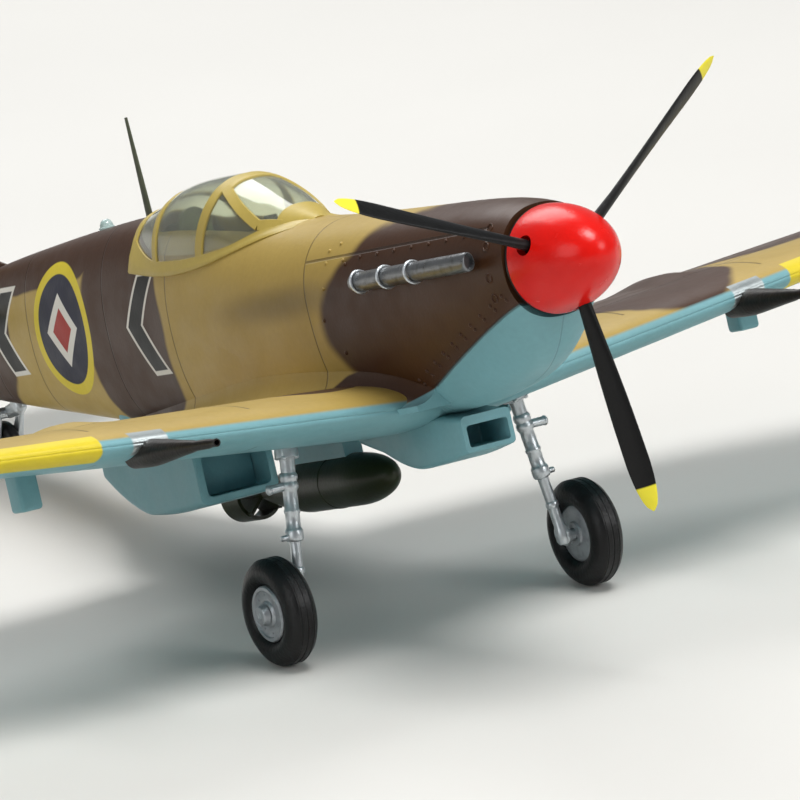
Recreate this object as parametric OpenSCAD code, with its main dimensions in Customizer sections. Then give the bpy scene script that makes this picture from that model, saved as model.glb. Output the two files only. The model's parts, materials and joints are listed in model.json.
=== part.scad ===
// 1/72 display model of a single-seat low-wing fighter with a three-blade propeller.
// Pieces are drawn in the flight frame: X to port, Y aft from the propeller plane,
// Z up from the thrust line. stand() then sits the model on its three wheels.

/* [Airframe] */
// Distance from the propeller plane to the rudder's trailing edge
tail_y = 121; // [118:0.5:124]
// Wing span
span = 156; // [152:1:160]
// Wing chord on the centreline
root_chord = 35.3; // [34:0.1:36.5]
// Upward angle of the outer wing
dihedral = 6; // [5:0.25:7]
// Tailplane span
tailplane_span = 44.4; // [42:0.2:46]
// Wall of the fuselage mouldings
wall = 0.9; // [0.7:0.05:1.1]
// Gap left for glue between neighbouring mouldings
seam = 0.04; // [0.02:0.01:0.08]

/* [Propeller] */
// Diameter swept by the blade tips
prop_d = 44; // [42:0.5:45]
// Diameter of the spinner at its base
spinner_d = 9.1; // [8.9:0.05:9.4]
// Length of the spinner ahead of the propeller plane
spinner_nose = 5.6; // [5:0.1:6]
// Widest chord of a blade
blade_chord = 2.1; // [1.8:0.1:3]
// Angle of the first blade above the horizontal
blade_start = 23.5; // [0:0.5:119]
// Diameter of the propeller shaft
shaft_d = 1.6; // [1.4:0.1:1.8]
// Radial clearance of everything that turns
running_gap = 0.04; // [0.03:0.01:0.06]

/* [Landing gear] */
// Diameter of a main wheel over the tyre
wheel_d = 9.2; // [8.8:0.1:9.6]
// Width of a main tyre
wheel_w = 2.9; // [2.6:0.1:3.4]
// Distance between the middles of the main tyres
track = 30.4; // [29.6:0.2:31]
// Distance of the main axles aft of the propeller plane
axle_y = 33.6; // [33:0.1:34.5]
// Distance of the main axles below the thrust line
axle_drop = 24.1; // [23.5:0.1:24.6]
// Diameter of the main axles
axle_d = 1; // [0.9:0.1:1.2]
// Diameter of the tail wheel
tail_wheel_d = 4; // [3.6:0.1:4.2]
// Diameter of the tail wheel's axle
tail_axle_d = 0.6; // [0.5:0.05:0.7]

/* [Fittings] */
// Height of the aerial mast above the spine
mast_h = 8.7; // [8:0.1:9.5]
// Distance of each cannon from the centreline
cannon_x = 29.5; // [29:0.1:30]
// Diameter of the store under the belly
store_d = 4.5; // [4.2:0.1:4.7]
// Diameter of the bore for a display stand's pin
socket_d = 3; // [2.5:0.1:3.2]
// Depth of that bore
socket_depth = 5; // [4:0.25:5.5]

/* [Hidden] */
$fn = 48;

slice = 0.1;                     // thickness of the thin ribs that hulls join
tail_axle = [104.5, -7.6];       // y and z of the tail wheel's axle
spar_y = 30.4;                   // the wing's quarter-chord line
wing_z = -10;                    // height of the wing's chord line at the fuselage side
wing_x = 4;                      // where the dihedral starts
backplate_y = 2.2;               // front face of the spinner's backplate
nose_y = 2.9;                    // front edge of the cowling
leg_top = [11.2, 33.4, -10.6];   // top of a leg, where it enters the wing
leg_r = 0.62;
leg_foot = [track / 2 - wheel_w / 2 - 0.5, axle_y, -axle_drop];
socket_y = 77;                   // the display stand's bore, aft of the store
rudder_end = 6.4;                // height of the rudder's rearmost point
fin_y = 112.2;                   // rear end of the fuselage, at the rudder's hinge line
bays = 26;                       // lengths that the fuselage is lofted in
edge = 0.1;                      // half thickness of the wing's moulded edges

// The three wheels touch the ground together at this nose-up angle.
wheelbase = tail_axle[0] - axle_y;
axle_rise = tail_axle[1] + axle_drop;
tyre_step = (wheel_d - tail_wheel_d) / 2;
ground_angle = asin(tyre_step / norm([wheelbase, axle_rise])) + atan2(axle_rise, wheelbase);
ride_height = axle_y * sin(ground_angle) + axle_drop * cos(ground_angle) + wheel_d / 2;
// Half way between the lowest blade's tip and the rudder's trailing edge
front_reach = prop_d / 2 * sin(ground_angle);
rear_reach = tail_y * cos(ground_angle) + rudder_end * sin(ground_angle);
middle = (rear_reach - front_reach) / 2;

// Fuselage stations: y, half width, top, bottom
stations = [
    [nose_y, 4.6, 4.75, -4.7], [5, 4.8, 5.15, -7.3], [8, 5.05, 5.5, -9.1], [13, 5.3, 5.8, -10.3],
    [19, 5.55, 6, -11], [27, 5.9, 6.3, -11.4], [38, 6.3, 6.85, -11.6], [48, 6.35, 8, -11.3],
    [58, 5.85, 9.3, -10.3], [66, 5.2, 9.8, -9.2], [76, 4.55, 9.5, -7.9], [86, 3.75, 8.9, -6.4],
    [96, 2.85, 8.1, -4.9], [106, 1.8, 6.8, -3.3], [112.2, 1, 5.6, -2.2]
];
// Canopy sections: y, half width, top
hood_stations = [
    [39, 1, 7.2], [42, 3, 8.9], [46, 4.1, 10.8], [49.5, 4.5, 11.7], [53.5, 4.6, 11.9],
    [58, 4.55, 11.7], [61, 4.4, 11], [66, 3.7, 10]
];
canopy_base = 4.6;

// Smooth curve through column k of a table of rows
function row_of(t, y, i = 0) = (i >= len(t) - 2 || y <= t[i + 1][0]) ? i : row_of(t, y, i + 1);
function slope(t, i, k) = let(a = max(i - 1, 0), b = min(i + 1, len(t) - 1))
    (t[b][k] - t[a][k]) / (t[b][0] - t[a][0]);
function smooth(t, y, k) = let(
        i = row_of(t, y), h = t[i + 1][0] - t[i][0], u = (y - t[i][0]) / h)
    t[i][k] * (2 * pow(u, 3) - 3 * u * u + 1)
    + slope(t, i, k) * h * (pow(u, 3) - 2 * u * u + u)
    + t[i + 1][k] * (3 * u * u - 2 * pow(u, 3))
    + slope(t, i + 1, k) * h * (pow(u, 3) - u * u);
function power(v, p) = sign(v) * pow(abs(v), p);

// Fuselage outline at station y, grown outward by g
function outline(y, g) = let(
        w = smooth(stations, y, 1) + g, top = smooth(stations, y, 2) + g,
        bottom = smooth(stations, y, 3) - g, mid = -0.2 * (1 - y / 140) + 2.2 * max(0, y - 55) / 57)
    [for (a = [0:15:345]) [w * power(cos(a), 0.86),
        mid + (sin(a) > 0 ? top - mid : mid - bottom) * power(sin(a), 0.9)]];

// Wing sizes at distance x from the centreline
function chord(x) = root_chord * sqrt(max(0, 1 - pow(2 * x / span, 2)));
function wing_height(x) = wing_z + max(0, x - wing_x) * tan(dihedral);
function depth(x) = 0.13 - 0.06 * 2 * x / span;
function camber(u) = 0.05 * u * (1 - u);
function half_depth(u) = 5 * (0.2969 * sqrt(u) - 0.126 * u - 0.3516 * u * u
    + 0.2843 * pow(u, 3) - 0.1036 * pow(u, 4));
chord_steps = [0, 0.012, 0.05, 0.12, 0.22, 0.36, 0.52, 0.7, 0.86, 1];
function skin(x, up) = [for (u = chord_steps) [u * chord(x),
    chord(x) * (camber(u) + up * half_depth(u) * depth(x)) + up * edge]];

module stand()
    translate([0, -middle, ride_height]) rotate([-ground_angle, 0, 0]) children();

module both(side) mirror([side < 0 ? 1 : 0, 0, 0]) children();

module station(y, g)
    translate([0, y, 0]) rotate([90, 0, 0]) linear_extrude(slice) polygon(outline(y, g));

// Fuselage grown by g, between two of its bays
module body_loft(g, from = 0, to = bays)
    for (i = [from:to - 1]) hull() for (j = [i, i + 1])
        station(nose_y + j * (fin_y - nose_y) / bays, g);

// One rib: the whole section (part 0), or its upper (1) or lower (-1) half
module rib(x, part, g)
    translate([x, spar_y - chord(x) / 4 - g, wing_height(x)]) rotate([90, 0, 90])
        linear_extrude(slice) scale((chord(x) + 2 * g) / chord(x)) polygon(concat(
            part >= 0 ? [for (p = skin(x, 1)) p + [0, g]] : [[0, -seam / 2], [chord(x), -seam / 2]],
            part <= 0 ? [for (i = [len(chord_steps) - 1:-1:0]) skin(x, -1)[i] - [0, g]]
                : [[chord(x), seam / 2], [0, seam / 2]]));

module panel(part, g) {
    ribs = [0, 4, 12, 22, 32, 42, 51, 59, 66, 71.5, 75.3, 77.3];
    for (i = [0:len(ribs) - 2]) hull() {
        rib(ribs[i] * span / 156, part, g);
        rib(ribs[i + 1] * span / 156, part, g);
    }
}

// Block ahead of, and under, the wing where the belly belongs to the lower wing
module belly_zone(g)
    translate([-9, 21 - g, -20]) cube([18, 40 + 2 * g, 11.2 + g]);

module cockpit_hole()
    hull() for (y = [46, 60.5]) translate([0, y, 3]) cylinder(r = 3.2, h = 12);

module tail_fin() color("#4b342a")
    difference() {
        rotate([90, 0, 90]) linear_extrude(1.1, center = true) polygon([
            [94, 7], [100, 8.7], [104.2, 11], [107.3, 14.2], [109.6, 16.6], [112, 17.5],
            [112, 3], [94, 3]]);
        body_loft(seam, 20, bays);
        translate([0, 106, 4.1]) cube([10, 15, 1.6], center = true);
    }

// Fairing between the wing root and the fuselage side: y, top, toe x, toe z
fairing = [
    [19.6, -8.6, 5.4, -9.6], [24, -7, 6.6, -9.6], [30, -6, 8, -8.6], [44, -5.2, 9, -8.1],
    [56, -5.9, 9.6, -9], [63, -6.4, 8.8, -9.6], [69, -6.8, 6.6, -9.2], [75, -7.2, 4.7, -8.4]
];
module root_fairing()
    for (i = [0:len(fairing) - 2]) hull() for (f = [fairing[i], fairing[i + 1]])
        translate([0, f[0], 0]) rotate([90, 0, 0]) linear_extrude(slice) {
            side = smooth(stations, f[0], 1);
            polygon([[side - 2, f[1] + 0.8], [side - 0.4, f[1]], [f[2], f[3]],
                [side - 2, f[3] - 0.6]]);
        }

module fuselage_half(side) color("#8c7a4c")
    both(side) difference() {
        union() {
            body_loft(0);
            root_fairing();
        }
        body_loft(-wall, 0, bays - 4);
        translate([-50 + seam / 2, -10, -50]) cube([50, 200, 100]);
        belly_zone(seam);
        panel(0, seam);
        cockpit_hole();
        translate([0, nose_y + 2, 0]) rotate([90, 0, 0]) cylinder(d = shaft_d + 2.2, h = 4);
        translate([0, socket_y, -20]) cylinder(d = socket_d + 2 + 2 * seam, h = 20);
        translate([0, 106, 4.1]) cube([10, 15, 1.6], center = true);
        translate([0, tail_axle[0] - 4, -8]) cylinder(d = 1.4 + 2 * seam, h = 8);
        translate([0, 68.4, 6]) cylinder(d = 1 + 2 * seam, h = 8);
    }

module wing_lower() color("#6fa3ad") difference() {
    union() {
        for (side = [1, -1]) both(side) panel(-1, 0);
        intersection() {
            body_loft(0, 4, 15);
            belly_zone(0);
        }
    }
    for (side = [1, -1]) {
        both(side) root_fairing();
        both(side) translate(leg_top - [0, 0, 3]) cylinder(r = leg_r + seam, h = 6);
        both(side) cannon_cut();
    }
}

module wing_upper(side) color("#7a6a44")
    both(side) difference() {
        panel(1, 0);
        body_loft(seam, 3, 16);
        root_fairing();
        translate(leg_top - [0, 0, 3]) cylinder(r = leg_r + seam, h = 4.2);
        cannon_cut();
    }

module cannon_cut()
    translate([cannon_x, 24.4 + seam, wing_height(cannon_x) - 0.9]) rotate([90, 0, 0])
        cylinder(r = 1.15 + seam, h = 6);

module tailplane(side) color("#6fa3ad")
    both(side) translate([0, 106, 4.1]) difference() {
        for (i = [0:7]) hull() for (j = [i, i + 1]) {
            x = j * tailplane_span / 2 / 8.03;
            half = 7.4 * sqrt(1 - pow(2 * x / tailplane_span, 2));
            translate([x, 0, 0]) scale([1, half, 0.75 - 0.045 * j]) rotate([0, 90, 0])
                cylinder(r = 1, h = slice, $fn = 20);
        }
        translate([-1, 0, 0]) cube([4 + 2 * seam, 40, 4], center = true);
        translate([0, 6.2, 0]) cube([3, 8, 4], center = true);
    }

module rudder() color("#4b342a")
    difference() {
        hull() {
            rotate([90, 0, 90]) linear_extrude(0.3, center = true) polygon([
                [112.4, 17.5], [115.2, 16.8], [117.8, 14.4], [119.8, 10.8], [tail_y, 6.4],
                [120.4, 2.6], [118, 0], [112.4, -2]]);
            translate([0, 112.9, 7.7]) cube([0.9, 1, 19], center = true);
            translate([0, 112.9, 2]) cube([1.5, 1, 7], center = true);
        }
        translate([0, 108, 8]) cube([8, 8.8, 30], center = true);
    }

// Nose outline of the spinner, from its base to its tip
function nose_curve(r, len) = [for (a = [0:10:90]) [r * cos(a), len * power(sin(a), 1.15)]];

module spinner() color("#d8281c")
    rotate([90, 0, 0]) difference() {
        translate([0, 0, -backplate_y]) rotate_extrude() difference() {
            polygon(concat([[0, 0]], nose_curve(spinner_d / 2, spinner_nose + backplate_y)));
            polygon(concat([[0, -1]], [[spinner_d / 2 - 0.8, -1]],
                nose_curve(spinner_d / 2 - 0.8, spinner_nose + backplate_y - 1)));
        }
        for (i = [0:2]) rotate([0, 90, 180 - blade_start - 120 * i])
            cylinder(r = 0.85, h = spinner_d);
    }

module spinner_backplate() color("#26221f")
    rotate([90, 0, 0]) translate([0, 0, -backplate_y - 0.5]) difference() {
        cylinder(d = spinner_d - 0.1, h = 0.48);
        translate([0, 0, -1]) cylinder(d = shaft_d + 0.02, h = 3);
    }

module propeller_hub() color("#1a1a1a")
    rotate([90, 0, 0]) difference() {
        union() {
            translate([0, 0, -1.9]) cylinder(r = 2, h = 3.4);
            for (i = [0:2]) rotate([0, 90, 180 - blade_start - 120 * i])
                translate([0, 0, 1.3]) cylinder(r = 0.95, h = 1.3);
        }
        translate([0, 0, -3]) cylinder(d = shaft_d + 0.02, h = 6);
        for (i = [0:2]) rotate([0, 90, 180 - blade_start - 120 * i])
            translate([0, 0, 1.4]) cylinder(r = 0.62, h = 4);
    }

// Blade along +X before it is turned to its place; chord and twist follow the radius
module propeller_blade(i) color("#161616")
    rotate([90, 0, 0]) rotate([0, 0, 180 - blade_start - 120 * i]) {
        rings = [for (t = [0, 0.08, 0.18, 0.3, 0.42, 0.54, 0.66, 0.77, 0.86, 0.93, 0.98, 1]) t];
        reach = prop_d / 2 - 1.5;
        for (k = [0:len(rings) - 2]) hull() for (t = [rings[k], rings[k + 1]]) {
            wide = 0.58 + (blade_chord / 2 - 0.58) * sin(min(1, max(0, (t - 0.14) * 1.5)) * 90);
            half = t < 0.8 ? wide : wide * sqrt(max(0.03, 1 - pow((t - 0.8) / 0.205, 2)));
            thick = 0.46 * (1 - t) + 0.12;
            translate([1.5 + t * reach, 0, 0]) rotate([70 - 30 * t, 0, 0])
                scale([1, half, thick]) rotate([0, 90, 0]) cylinder(r = 1, h = slice, $fn = 20);
        }
    }

module propeller_shaft() color("silver")
    rotate([90, 0, 0]) translate([0, 0, -12]) cylinder(d = shaft_d, h = 15);

module shaft_bush() color("#8c8c84")
    rotate([90, 0, 0]) translate([0, 0, -nose_y - 5.6]) difference() {
        union() {
            cylinder(d = shaft_d + 2.1, h = 5.4);
            cylinder(r = 3.4, h = 1.6);
        }
        translate([0, 0, -1]) cylinder(d = shaft_d + 2 * running_gap, h = 8);
    }

module shaft_collar() color("#8c8c84")
    rotate([90, 0, 0]) translate([0, 0, -nose_y - 7.4]) difference() {
        cylinder(r = 1.9, h = 1.5);
        translate([0, 0, -1]) cylinder(d = shaft_d + 0.02, h = 4);
    }

module hood_section(y, g)
    translate([0, y, 0]) rotate([90, 0, 0]) linear_extrude(slice) polygon([
        for (a = [0:12:180]) [(smooth(hood_stations, y, 1) - g) * power(cos(a), 0.8),
            canopy_base - g + (smooth(hood_stations, y, 2) - canopy_base) * power(sin(a), 0.9)]]);

module hood_loft(g, from, to)
    for (y = [from:3:to - 0.01]) hull() {
        hood_section(y, g);
        hood_section(min(y + 3, to), g);
    }

module canopy() color("#a8924f", 0.5)
    difference() {
        hood_loft(0, 39, 66);
        hood_loft(0.45, 40, 65.2);
        body_loft(seam, 7, 17);
        translate([0, 52, canopy_base - 2]) cube([6.2, 17, 8], center = true);
    }

module cockpit_floor() color("#5d6a4e")
    translate([-4.2, 42, -4.6]) cube([8.4, 18.2, 0.6]);

module cockpit_bulkhead() color("#5d6a4e")
    hull() {
        translate([0, 60.9, 8.6]) rotate([90, 0, 0]) cylinder(r = 1.3, h = 0.5);
        translate([-2.9, 60.4, -3.9]) cube([5.8, 0.5, 6]);
    }

module pilot_seat() color("#3c4034") {
    difference() {
        translate([-2.3, 53.4, -3.9]) cube([4.6, 5, 2.6]);
        translate([-1.9, 53, -2.9]) cube([3.8, 4.9, 3]);
    }
    translate([-2.3, 58.4, -3.9]) cube([4.6, 0.5, 8]);
}

module instrument_panel() color("#2b2c28")
    difference() {
        intersection() {
            translate([-4.4, 46, -3.9]) cube([8.8, 0.5, 9.6]);
            translate([0, 46.6, 0]) rotate([90, 0, 0]) cylinder(r = 5.6, h = 0.8);
        }
        for (x = [-2.4, 0, 2.4], z = [0.6, 3]) translate([x, 48, z]) rotate([90, 0, 0])
            cylinder(r = 0.7, h = 1.75);
    }

module control_stick() color("#2b2c28") {
    translate([0, 51, -3.99]) cylinder(r = 0.25, h = 4.8);
    translate([0, 51, 1.5]) rotate([90, 0, 0]) rotate_extrude() translate([0.75, 0])
        circle(r = 0.2);
}

module gunsight() color("#2b2c28") {
    translate([-0.45, 46.1, 5.72]) cube([0.9, 1.4, 1.1]);
    translate([-0.6, 47.1, 6.8]) cube([1.2, 0.2, 1.1]);
}

module aerial_mast() color("#4d5240")
    hull() {
        translate([0, 68.4, 8.2]) cylinder(r = 0.48, h = 0.1);
        translate([0, 68.7, 9.9 + mast_h - 0.1]) cylinder(r = 0.2, h = 0.1);
    }

module spine_light() color("#9fb4b0")
    translate([0, 76.6, smooth(stations, 76.6, 2) + seam]) {
        cylinder(r = 0.7, h = 0.25);
        translate([0, 0, 0.25]) intersection() {
            sphere(r = 0.62);
            cylinder(r = 1, h = 1);
        }
    }

// Exhaust manifold: a tube with three clamp rings, outboard of the cowling
module exhaust(side) color("#8b8c8a")
    both(side) difference() {
        translate([5.95, 5.7, 1.3]) rotate([-90, 0, -1.6]) {
            cylinder(r = 0.82, h = 18.4);
            for (z = [8.7, 13.1, 17.4]) translate([0, 0, z]) cylinder(r = 1.12, h = 0.8);
            for (z = [6.7, 11.1, 15.5]) translate([-0.6, 0, z]) rotate([0, -90, 0])
                cylinder(r = 0.5, h = 0.6);
        }
        translate([6.45, 22.9, 1.3]) rotate([-90, 0, -1.6]) cylinder(r = 0.6, h = 4);
        body_loft(seam, 0, 6);
    }

module cannon(side) color("#2f2a24")
    both(side) translate([cannon_x, 24.4, wing_height(cannon_x) - 0.9]) rotate([90, 0, 0]) {
        cylinder(r = 1.15, h = 3);
        translate([0, 0, 3]) cylinder(r1 = 1.15, r2 = 0.5, h = 6.4);
        difference() {
            translate([0, 0, 9.4]) cylinder(r1 = 0.5, r2 = 0.34, h = 3.8);
            translate([0, 0, 11.8]) cylinder(r = 0.2, h = 3);
        }
    }

module carburettor_intake() color("#6fa3ad")
    difference() {
        hull() {
            translate([-2.5, 19.2, -14.6]) cube([5, 0.3, 2.2]);
            translate([-2.7, 27, -15.3]) cube([5.4, 1, 3.6]);
            translate([-1, 39, -12.6]) cube([2, 0.3, 1]);
            translate([-2.6, 24, -12.4]) cube([5.2, 6, 1.5]);
        }
        translate([-2, 18, -14.2]) cube([4, 6, 1.5]);
        body_loft(seam, 2, 10);
        panel(0, seam);
        mirror([1, 0, 0]) panel(0, seam);
    }

module radiator_housing() color("#6fa3ad")
    difference() {
        hull() {
            translate([-16.6, 40, -13.8]) cube([7.6, 0.3, 4.4]);
            translate([-16, 40, -14.5]) cube([6.4, 0.3, 1]);
            translate([-15.8, 50, -14.5]) cube([6, 3, 5.2]);
            translate([-16, 57, -11.2]) cube([6.4, 0.3, 1.6]);
        }
        translate([-16, 39, -13.8]) cube([6.4, 12, 3.4]);
        mirror([1, 0, 0]) panel(0, seam);
        translate([-17, 38, -9.5]) cube([9, 25, 4]);
    }

module radiator_matrix() color("#3b3f42")
    difference() {
        translate([-15.9, 43, -13.7]) cube([6.2, 0.8, 2.3]);
        for (x = [-15.4:1.1:-10], z = [-13.3, -12.4]) translate([x, 42, z]) cube([0.7, 3, 0.6]);
    }

module oil_cooler() color("#6fa3ad")
    difference() {
        hull() {
            translate([12.8, 40, -11.6]) rotate([-90, 0, 0]) cylinder(r = 2.3, h = 8);
            translate([12.8, 54, -11]) rotate([-90, 0, 0]) cylinder(r = 0.8, h = 1);
        }
        translate([12.8, 39, -11.8]) rotate([-90, 0, 0]) cylinder(r = 1.7, h = 4);
        panel(0, seam);
        translate([8, 38, -10.6]) cube([10, 25, 6]);
    }

module landing_lamp(side) color("#6fa3ad")
    both(side) difference() {
        translate([34.6, 33.4, -10.9]) cube([2, 2.2, 4]);
        panel(0, seam);
        translate([30, 30, -7.6]) cube([10, 10, 4]);
    }

module pitot_tube() color("silver")
    translate([62, 33, wing_height(62) - 2.6]) {
        rotate([90, 0, 0]) cylinder(r = 0.22, h = 6);
        translate([0, -0.3, 0]) cylinder(r = 0.3, h = 1.75);
    }

module gear_leg(side) color("silver")
    both(side) {
        lean = atan2(leg_foot[0] - leg_top[0], leg_top[2] - leg_foot[2]);
        long = norm(leg_foot - leg_top);
        translate(leg_top) rotate([180, 0, 0]) rotate([0, lean, 0]) {
            cylinder(r = leg_r, h = 7.6);
            cylinder(r = 0.48, h = long);
            translate([0, 0, 1.3]) cylinder(r = 1, h = 0.3);
            for (z = [3.1, 7.4]) translate([0, 0, z]) cylinder(r = 0.76, h = 0.75);
            translate([0, 0, 3.5]) rotate([0, 90, 0]) cylinder(r = 0.38, h = 2);
            translate([0, 0, 7.8]) rotate([0, 90, 0]) cylinder(r = 0.25, h = 1.3);
        }
        translate(leg_foot) sphere(r = 0.55);
        translate(leg_foot) rotate([0, 90, 0]) {
            cylinder(d = axle_d, h = wheel_w + 0.9);
            cylinder(r = 0.75, h = 0.4);
        }
    }

module at_wheel(side)
    both(side) translate([track / 2, axle_y, -axle_drop]) rotate([0, 90, 0]) children();

module main_tyre(side) color("#171717")
    at_wheel(side) rotate_extrude() difference() {
        hull() for (x = [-1, 1]) translate([wheel_d / 2 - 1.15, x * (wheel_w / 2 - 1.15)])
            circle(r = 1.15, $fn = 32);
        translate([0, -5]) square([wheel_d / 2 - 2.2, 10]);
        for (x = [-0.55, 0.55]) translate([wheel_d / 2, x]) circle(r = 0.12, $fn = 16);
    }

module main_wheel(side) color("#a9abad")
    at_wheel(side) difference() {
        rotate_extrude() polygon([
            [0, -1.15], [wheel_d / 2 - 2.22, -1.15], [wheel_d / 2 - 2.22, 1.3],
            [wheel_d / 2 - 2.6, 1.4], [wheel_d / 2 - 2.9, 1.1], [1.2, 1.3], [0, 1.3]]);
        translate([0, 0, -3]) cylinder(d = axle_d + 2 * running_gap, h = 6);
    }

module axle_cap(side) color("#77797b")
    at_wheel(side) difference() {
        translate([0, 0, 1.36]) cylinder(r1 = 0.95, r2 = 0.75, h = 0.6);
        translate([0, 0, 1]) cylinder(d = axle_d + 0.02, h = 2);
    }

module tail_wheel_leg() color("silver")
    difference() {
        union() {
            translate([0, tail_axle[0] - 4, tail_axle[1] + 3]) cylinder(r = 0.7, h = 3.5);
            hull() {
                translate([0, tail_axle[0] - 4, tail_axle[1] + 3]) sphere(r = 0.7, $fn = 16);
                translate([0, tail_axle[0] - 2, tail_axle[1] + 2.7]) sphere(r = 0.6, $fn = 16);
            }
            for (x = [-1.15, 1.15]) hull() {
                translate([x, tail_axle[0] - 2, tail_axle[1] + 2.7]) sphere(r = 0.32, $fn = 16);
                translate([x - 0.3, tail_axle[0], tail_axle[1]]) rotate([0, 90, 0])
                    cylinder(r = 0.6, h = 0.6, $fn = 24);
            }
            translate([-1.2, tail_axle[0] - 2, tail_axle[1] + 2.7]) rotate([0, 90, 0])
                cylinder(r = 0.5, h = 2.4);
        }
        translate([0, tail_axle[0], tail_axle[1]]) rotate([0, 90, 0])
            cylinder(d = tail_wheel_d + 0.24, h = 1.66, center = true);
        translate([0, tail_axle[0], tail_axle[1]]) rotate([0, 90, 0])
            cylinder(d = tail_axle_d + 0.02, h = 5, center = true);
    }

module tail_wheel() color("#171717")
    translate([0, tail_axle[0], tail_axle[1]]) rotate([0, 90, 0]) {
        rotate_extrude() translate([tail_wheel_d / 2 - 0.75, 0]) circle(r = 0.75);
        difference() {
            cylinder(d = tail_wheel_d - 1.5, h = 1.2, center = true);
            cylinder(d = tail_axle_d + 2 * running_gap, h = 3, center = true);
        }
    }

module tail_axle() color("silver")
    translate([0, tail_axle[0], tail_axle[1]]) rotate([0, 90, 0])
        cylinder(d = tail_axle_d, h = 3.1, center = true);

module store_body() color("#2c3020")
    translate([0, 36.4, -15.5]) rotate([-90, 0, 0]) rotate_extrude() polygon(concat(
        [[0, 0]],
        [for (a = [8:10:88]) [store_d / 2 * sin(a), 6 * (1 - cos(a))]],
        [[store_d / 2, 6], [store_d / 2, 14.5]],
        [for (t = [0.2:0.2:1]) [store_d / 2 * (1 - 0.72 * pow(t, 1.4)), 14.5 + 8 * t]],
        [[0, 22.5]]));

module store_tail() color("#2c3020")
    translate([0, 36.4 + 22.6, -15.5]) rotate([-90, 0, 0]) {
        cylinder(r = 0.5, h = 4.4);
        for (a = [0, 90, 180, 270]) rotate([0, 0, a + 45]) translate([0, -0.15, 0.6])
            cube([store_d / 2 - 0.1, 0.3, 3.8]);
        translate([0, 0, 1.4]) difference() {
            cylinder(d = store_d, h = 3);
            translate([0, 0, -1]) cylinder(d = store_d - 0.6, h = 6);
        }
    }

module store_rack() color("#6fa3ad")
    difference() {
        translate([-0.9, 42.4, -14]) cube([1.8, 9, 4]);
        body_loft(seam, 8, 13);
        panel(0, seam);
        mirror([1, 0, 0]) panel(0, seam);
        translate([0, 36, -15.5]) rotate([-90, 0, 0]) cylinder(d = store_d + 2 * seam, h = 20);
    }

module stand_socket() color("#6fa3ad")
    translate([0, socket_y, 0]) difference() {
        translate([0, 0, smooth(stations, socket_y, 3) - 0.1]) cylinder(d = socket_d + 2, h = 7);
        translate([0, 0, smooth(stations, socket_y, 3) - 1]) cylinder(d = socket_d, h = socket_depth + 0.9);
    }

stand() fuselage_half(1);  // fuselage_left
stand() fuselage_half(-1);  // fuselage_right
stand() wing_lower();
stand() wing_upper(1);  // wing_upper_left
stand() wing_upper(-1);  // wing_upper_right
stand() tail_fin();
stand() tailplane(1);  // tailplane_left
stand() tailplane(-1);  // tailplane_right
stand() rudder();
stand() spinner();
stand() spinner_backplate();
stand() propeller_hub();
stand() propeller_blade(0);  // propeller_blade_1
stand() propeller_blade(1);  // propeller_blade_2
stand() propeller_blade(2);  // propeller_blade_3
stand() propeller_shaft();
stand() shaft_bush();
stand() shaft_collar();
stand() canopy();
stand() cockpit_floor();
stand() cockpit_bulkhead();
stand() pilot_seat();
stand() instrument_panel();
stand() control_stick();
stand() gunsight();
stand() aerial_mast();
stand() spine_light();
stand() exhaust(1);  // exhaust_left
stand() exhaust(-1);  // exhaust_right
stand() cannon(1);  // cannon_left
stand() cannon(-1);  // cannon_right
stand() carburettor_intake();
stand() radiator_housing();
stand() radiator_matrix();
stand() oil_cooler();
stand() landing_lamp(1);  // landing_lamp_left
stand() landing_lamp(-1);  // landing_lamp_right
stand() pitot_tube();
stand() gear_leg(1);  // gear_leg_left
stand() gear_leg(-1);  // gear_leg_right
stand() main_tyre(1);  // main_tyre_left
stand() main_tyre(-1);  // main_tyre_right
stand() main_wheel(1);  // main_wheel_left
stand() main_wheel(-1);  // main_wheel_right
stand() axle_cap(1);  // axle_cap_left
stand() axle_cap(-1);  // axle_cap_right
stand() tail_wheel_leg();
stand() tail_wheel();
stand() tail_axle();
stand() store_body();
stand() store_tail();
stand() store_rack();
stand() stand_socket();
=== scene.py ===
import bpy
import json
import math
from mathutils import Matrix, Vector


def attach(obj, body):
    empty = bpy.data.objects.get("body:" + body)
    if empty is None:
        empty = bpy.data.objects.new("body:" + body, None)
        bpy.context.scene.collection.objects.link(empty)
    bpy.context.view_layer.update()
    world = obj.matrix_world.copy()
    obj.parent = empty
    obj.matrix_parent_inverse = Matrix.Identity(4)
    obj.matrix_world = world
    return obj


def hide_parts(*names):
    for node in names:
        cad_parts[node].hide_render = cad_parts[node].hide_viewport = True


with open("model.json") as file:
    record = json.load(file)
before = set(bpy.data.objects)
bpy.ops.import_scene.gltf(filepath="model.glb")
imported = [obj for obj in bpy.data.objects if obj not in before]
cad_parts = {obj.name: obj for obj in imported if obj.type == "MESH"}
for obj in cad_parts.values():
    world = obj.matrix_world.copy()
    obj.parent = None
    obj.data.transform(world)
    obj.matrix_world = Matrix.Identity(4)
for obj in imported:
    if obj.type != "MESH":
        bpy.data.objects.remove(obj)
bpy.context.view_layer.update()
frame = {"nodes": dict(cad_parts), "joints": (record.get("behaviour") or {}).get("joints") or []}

# Everything is modelled lying level in millimetres: X to port, Y aft, Z up, zero at the
# propeller hub. settle() then stands a finished piece on its wheels, in metres.
spin = next(j for j in frame["joints"] if j["name"] == "propeller_spin")
hub = Vector(spin["pos_m"])
noseUp = math.atan2(spin["axis"][2], -spin["axis"][1])
stand = Matrix.Translation(hub) @ Matrix.Rotation(-noseUp, 4, "X") @ Matrix.Scale(0.001, 4)
level = stand.inverted()


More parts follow.
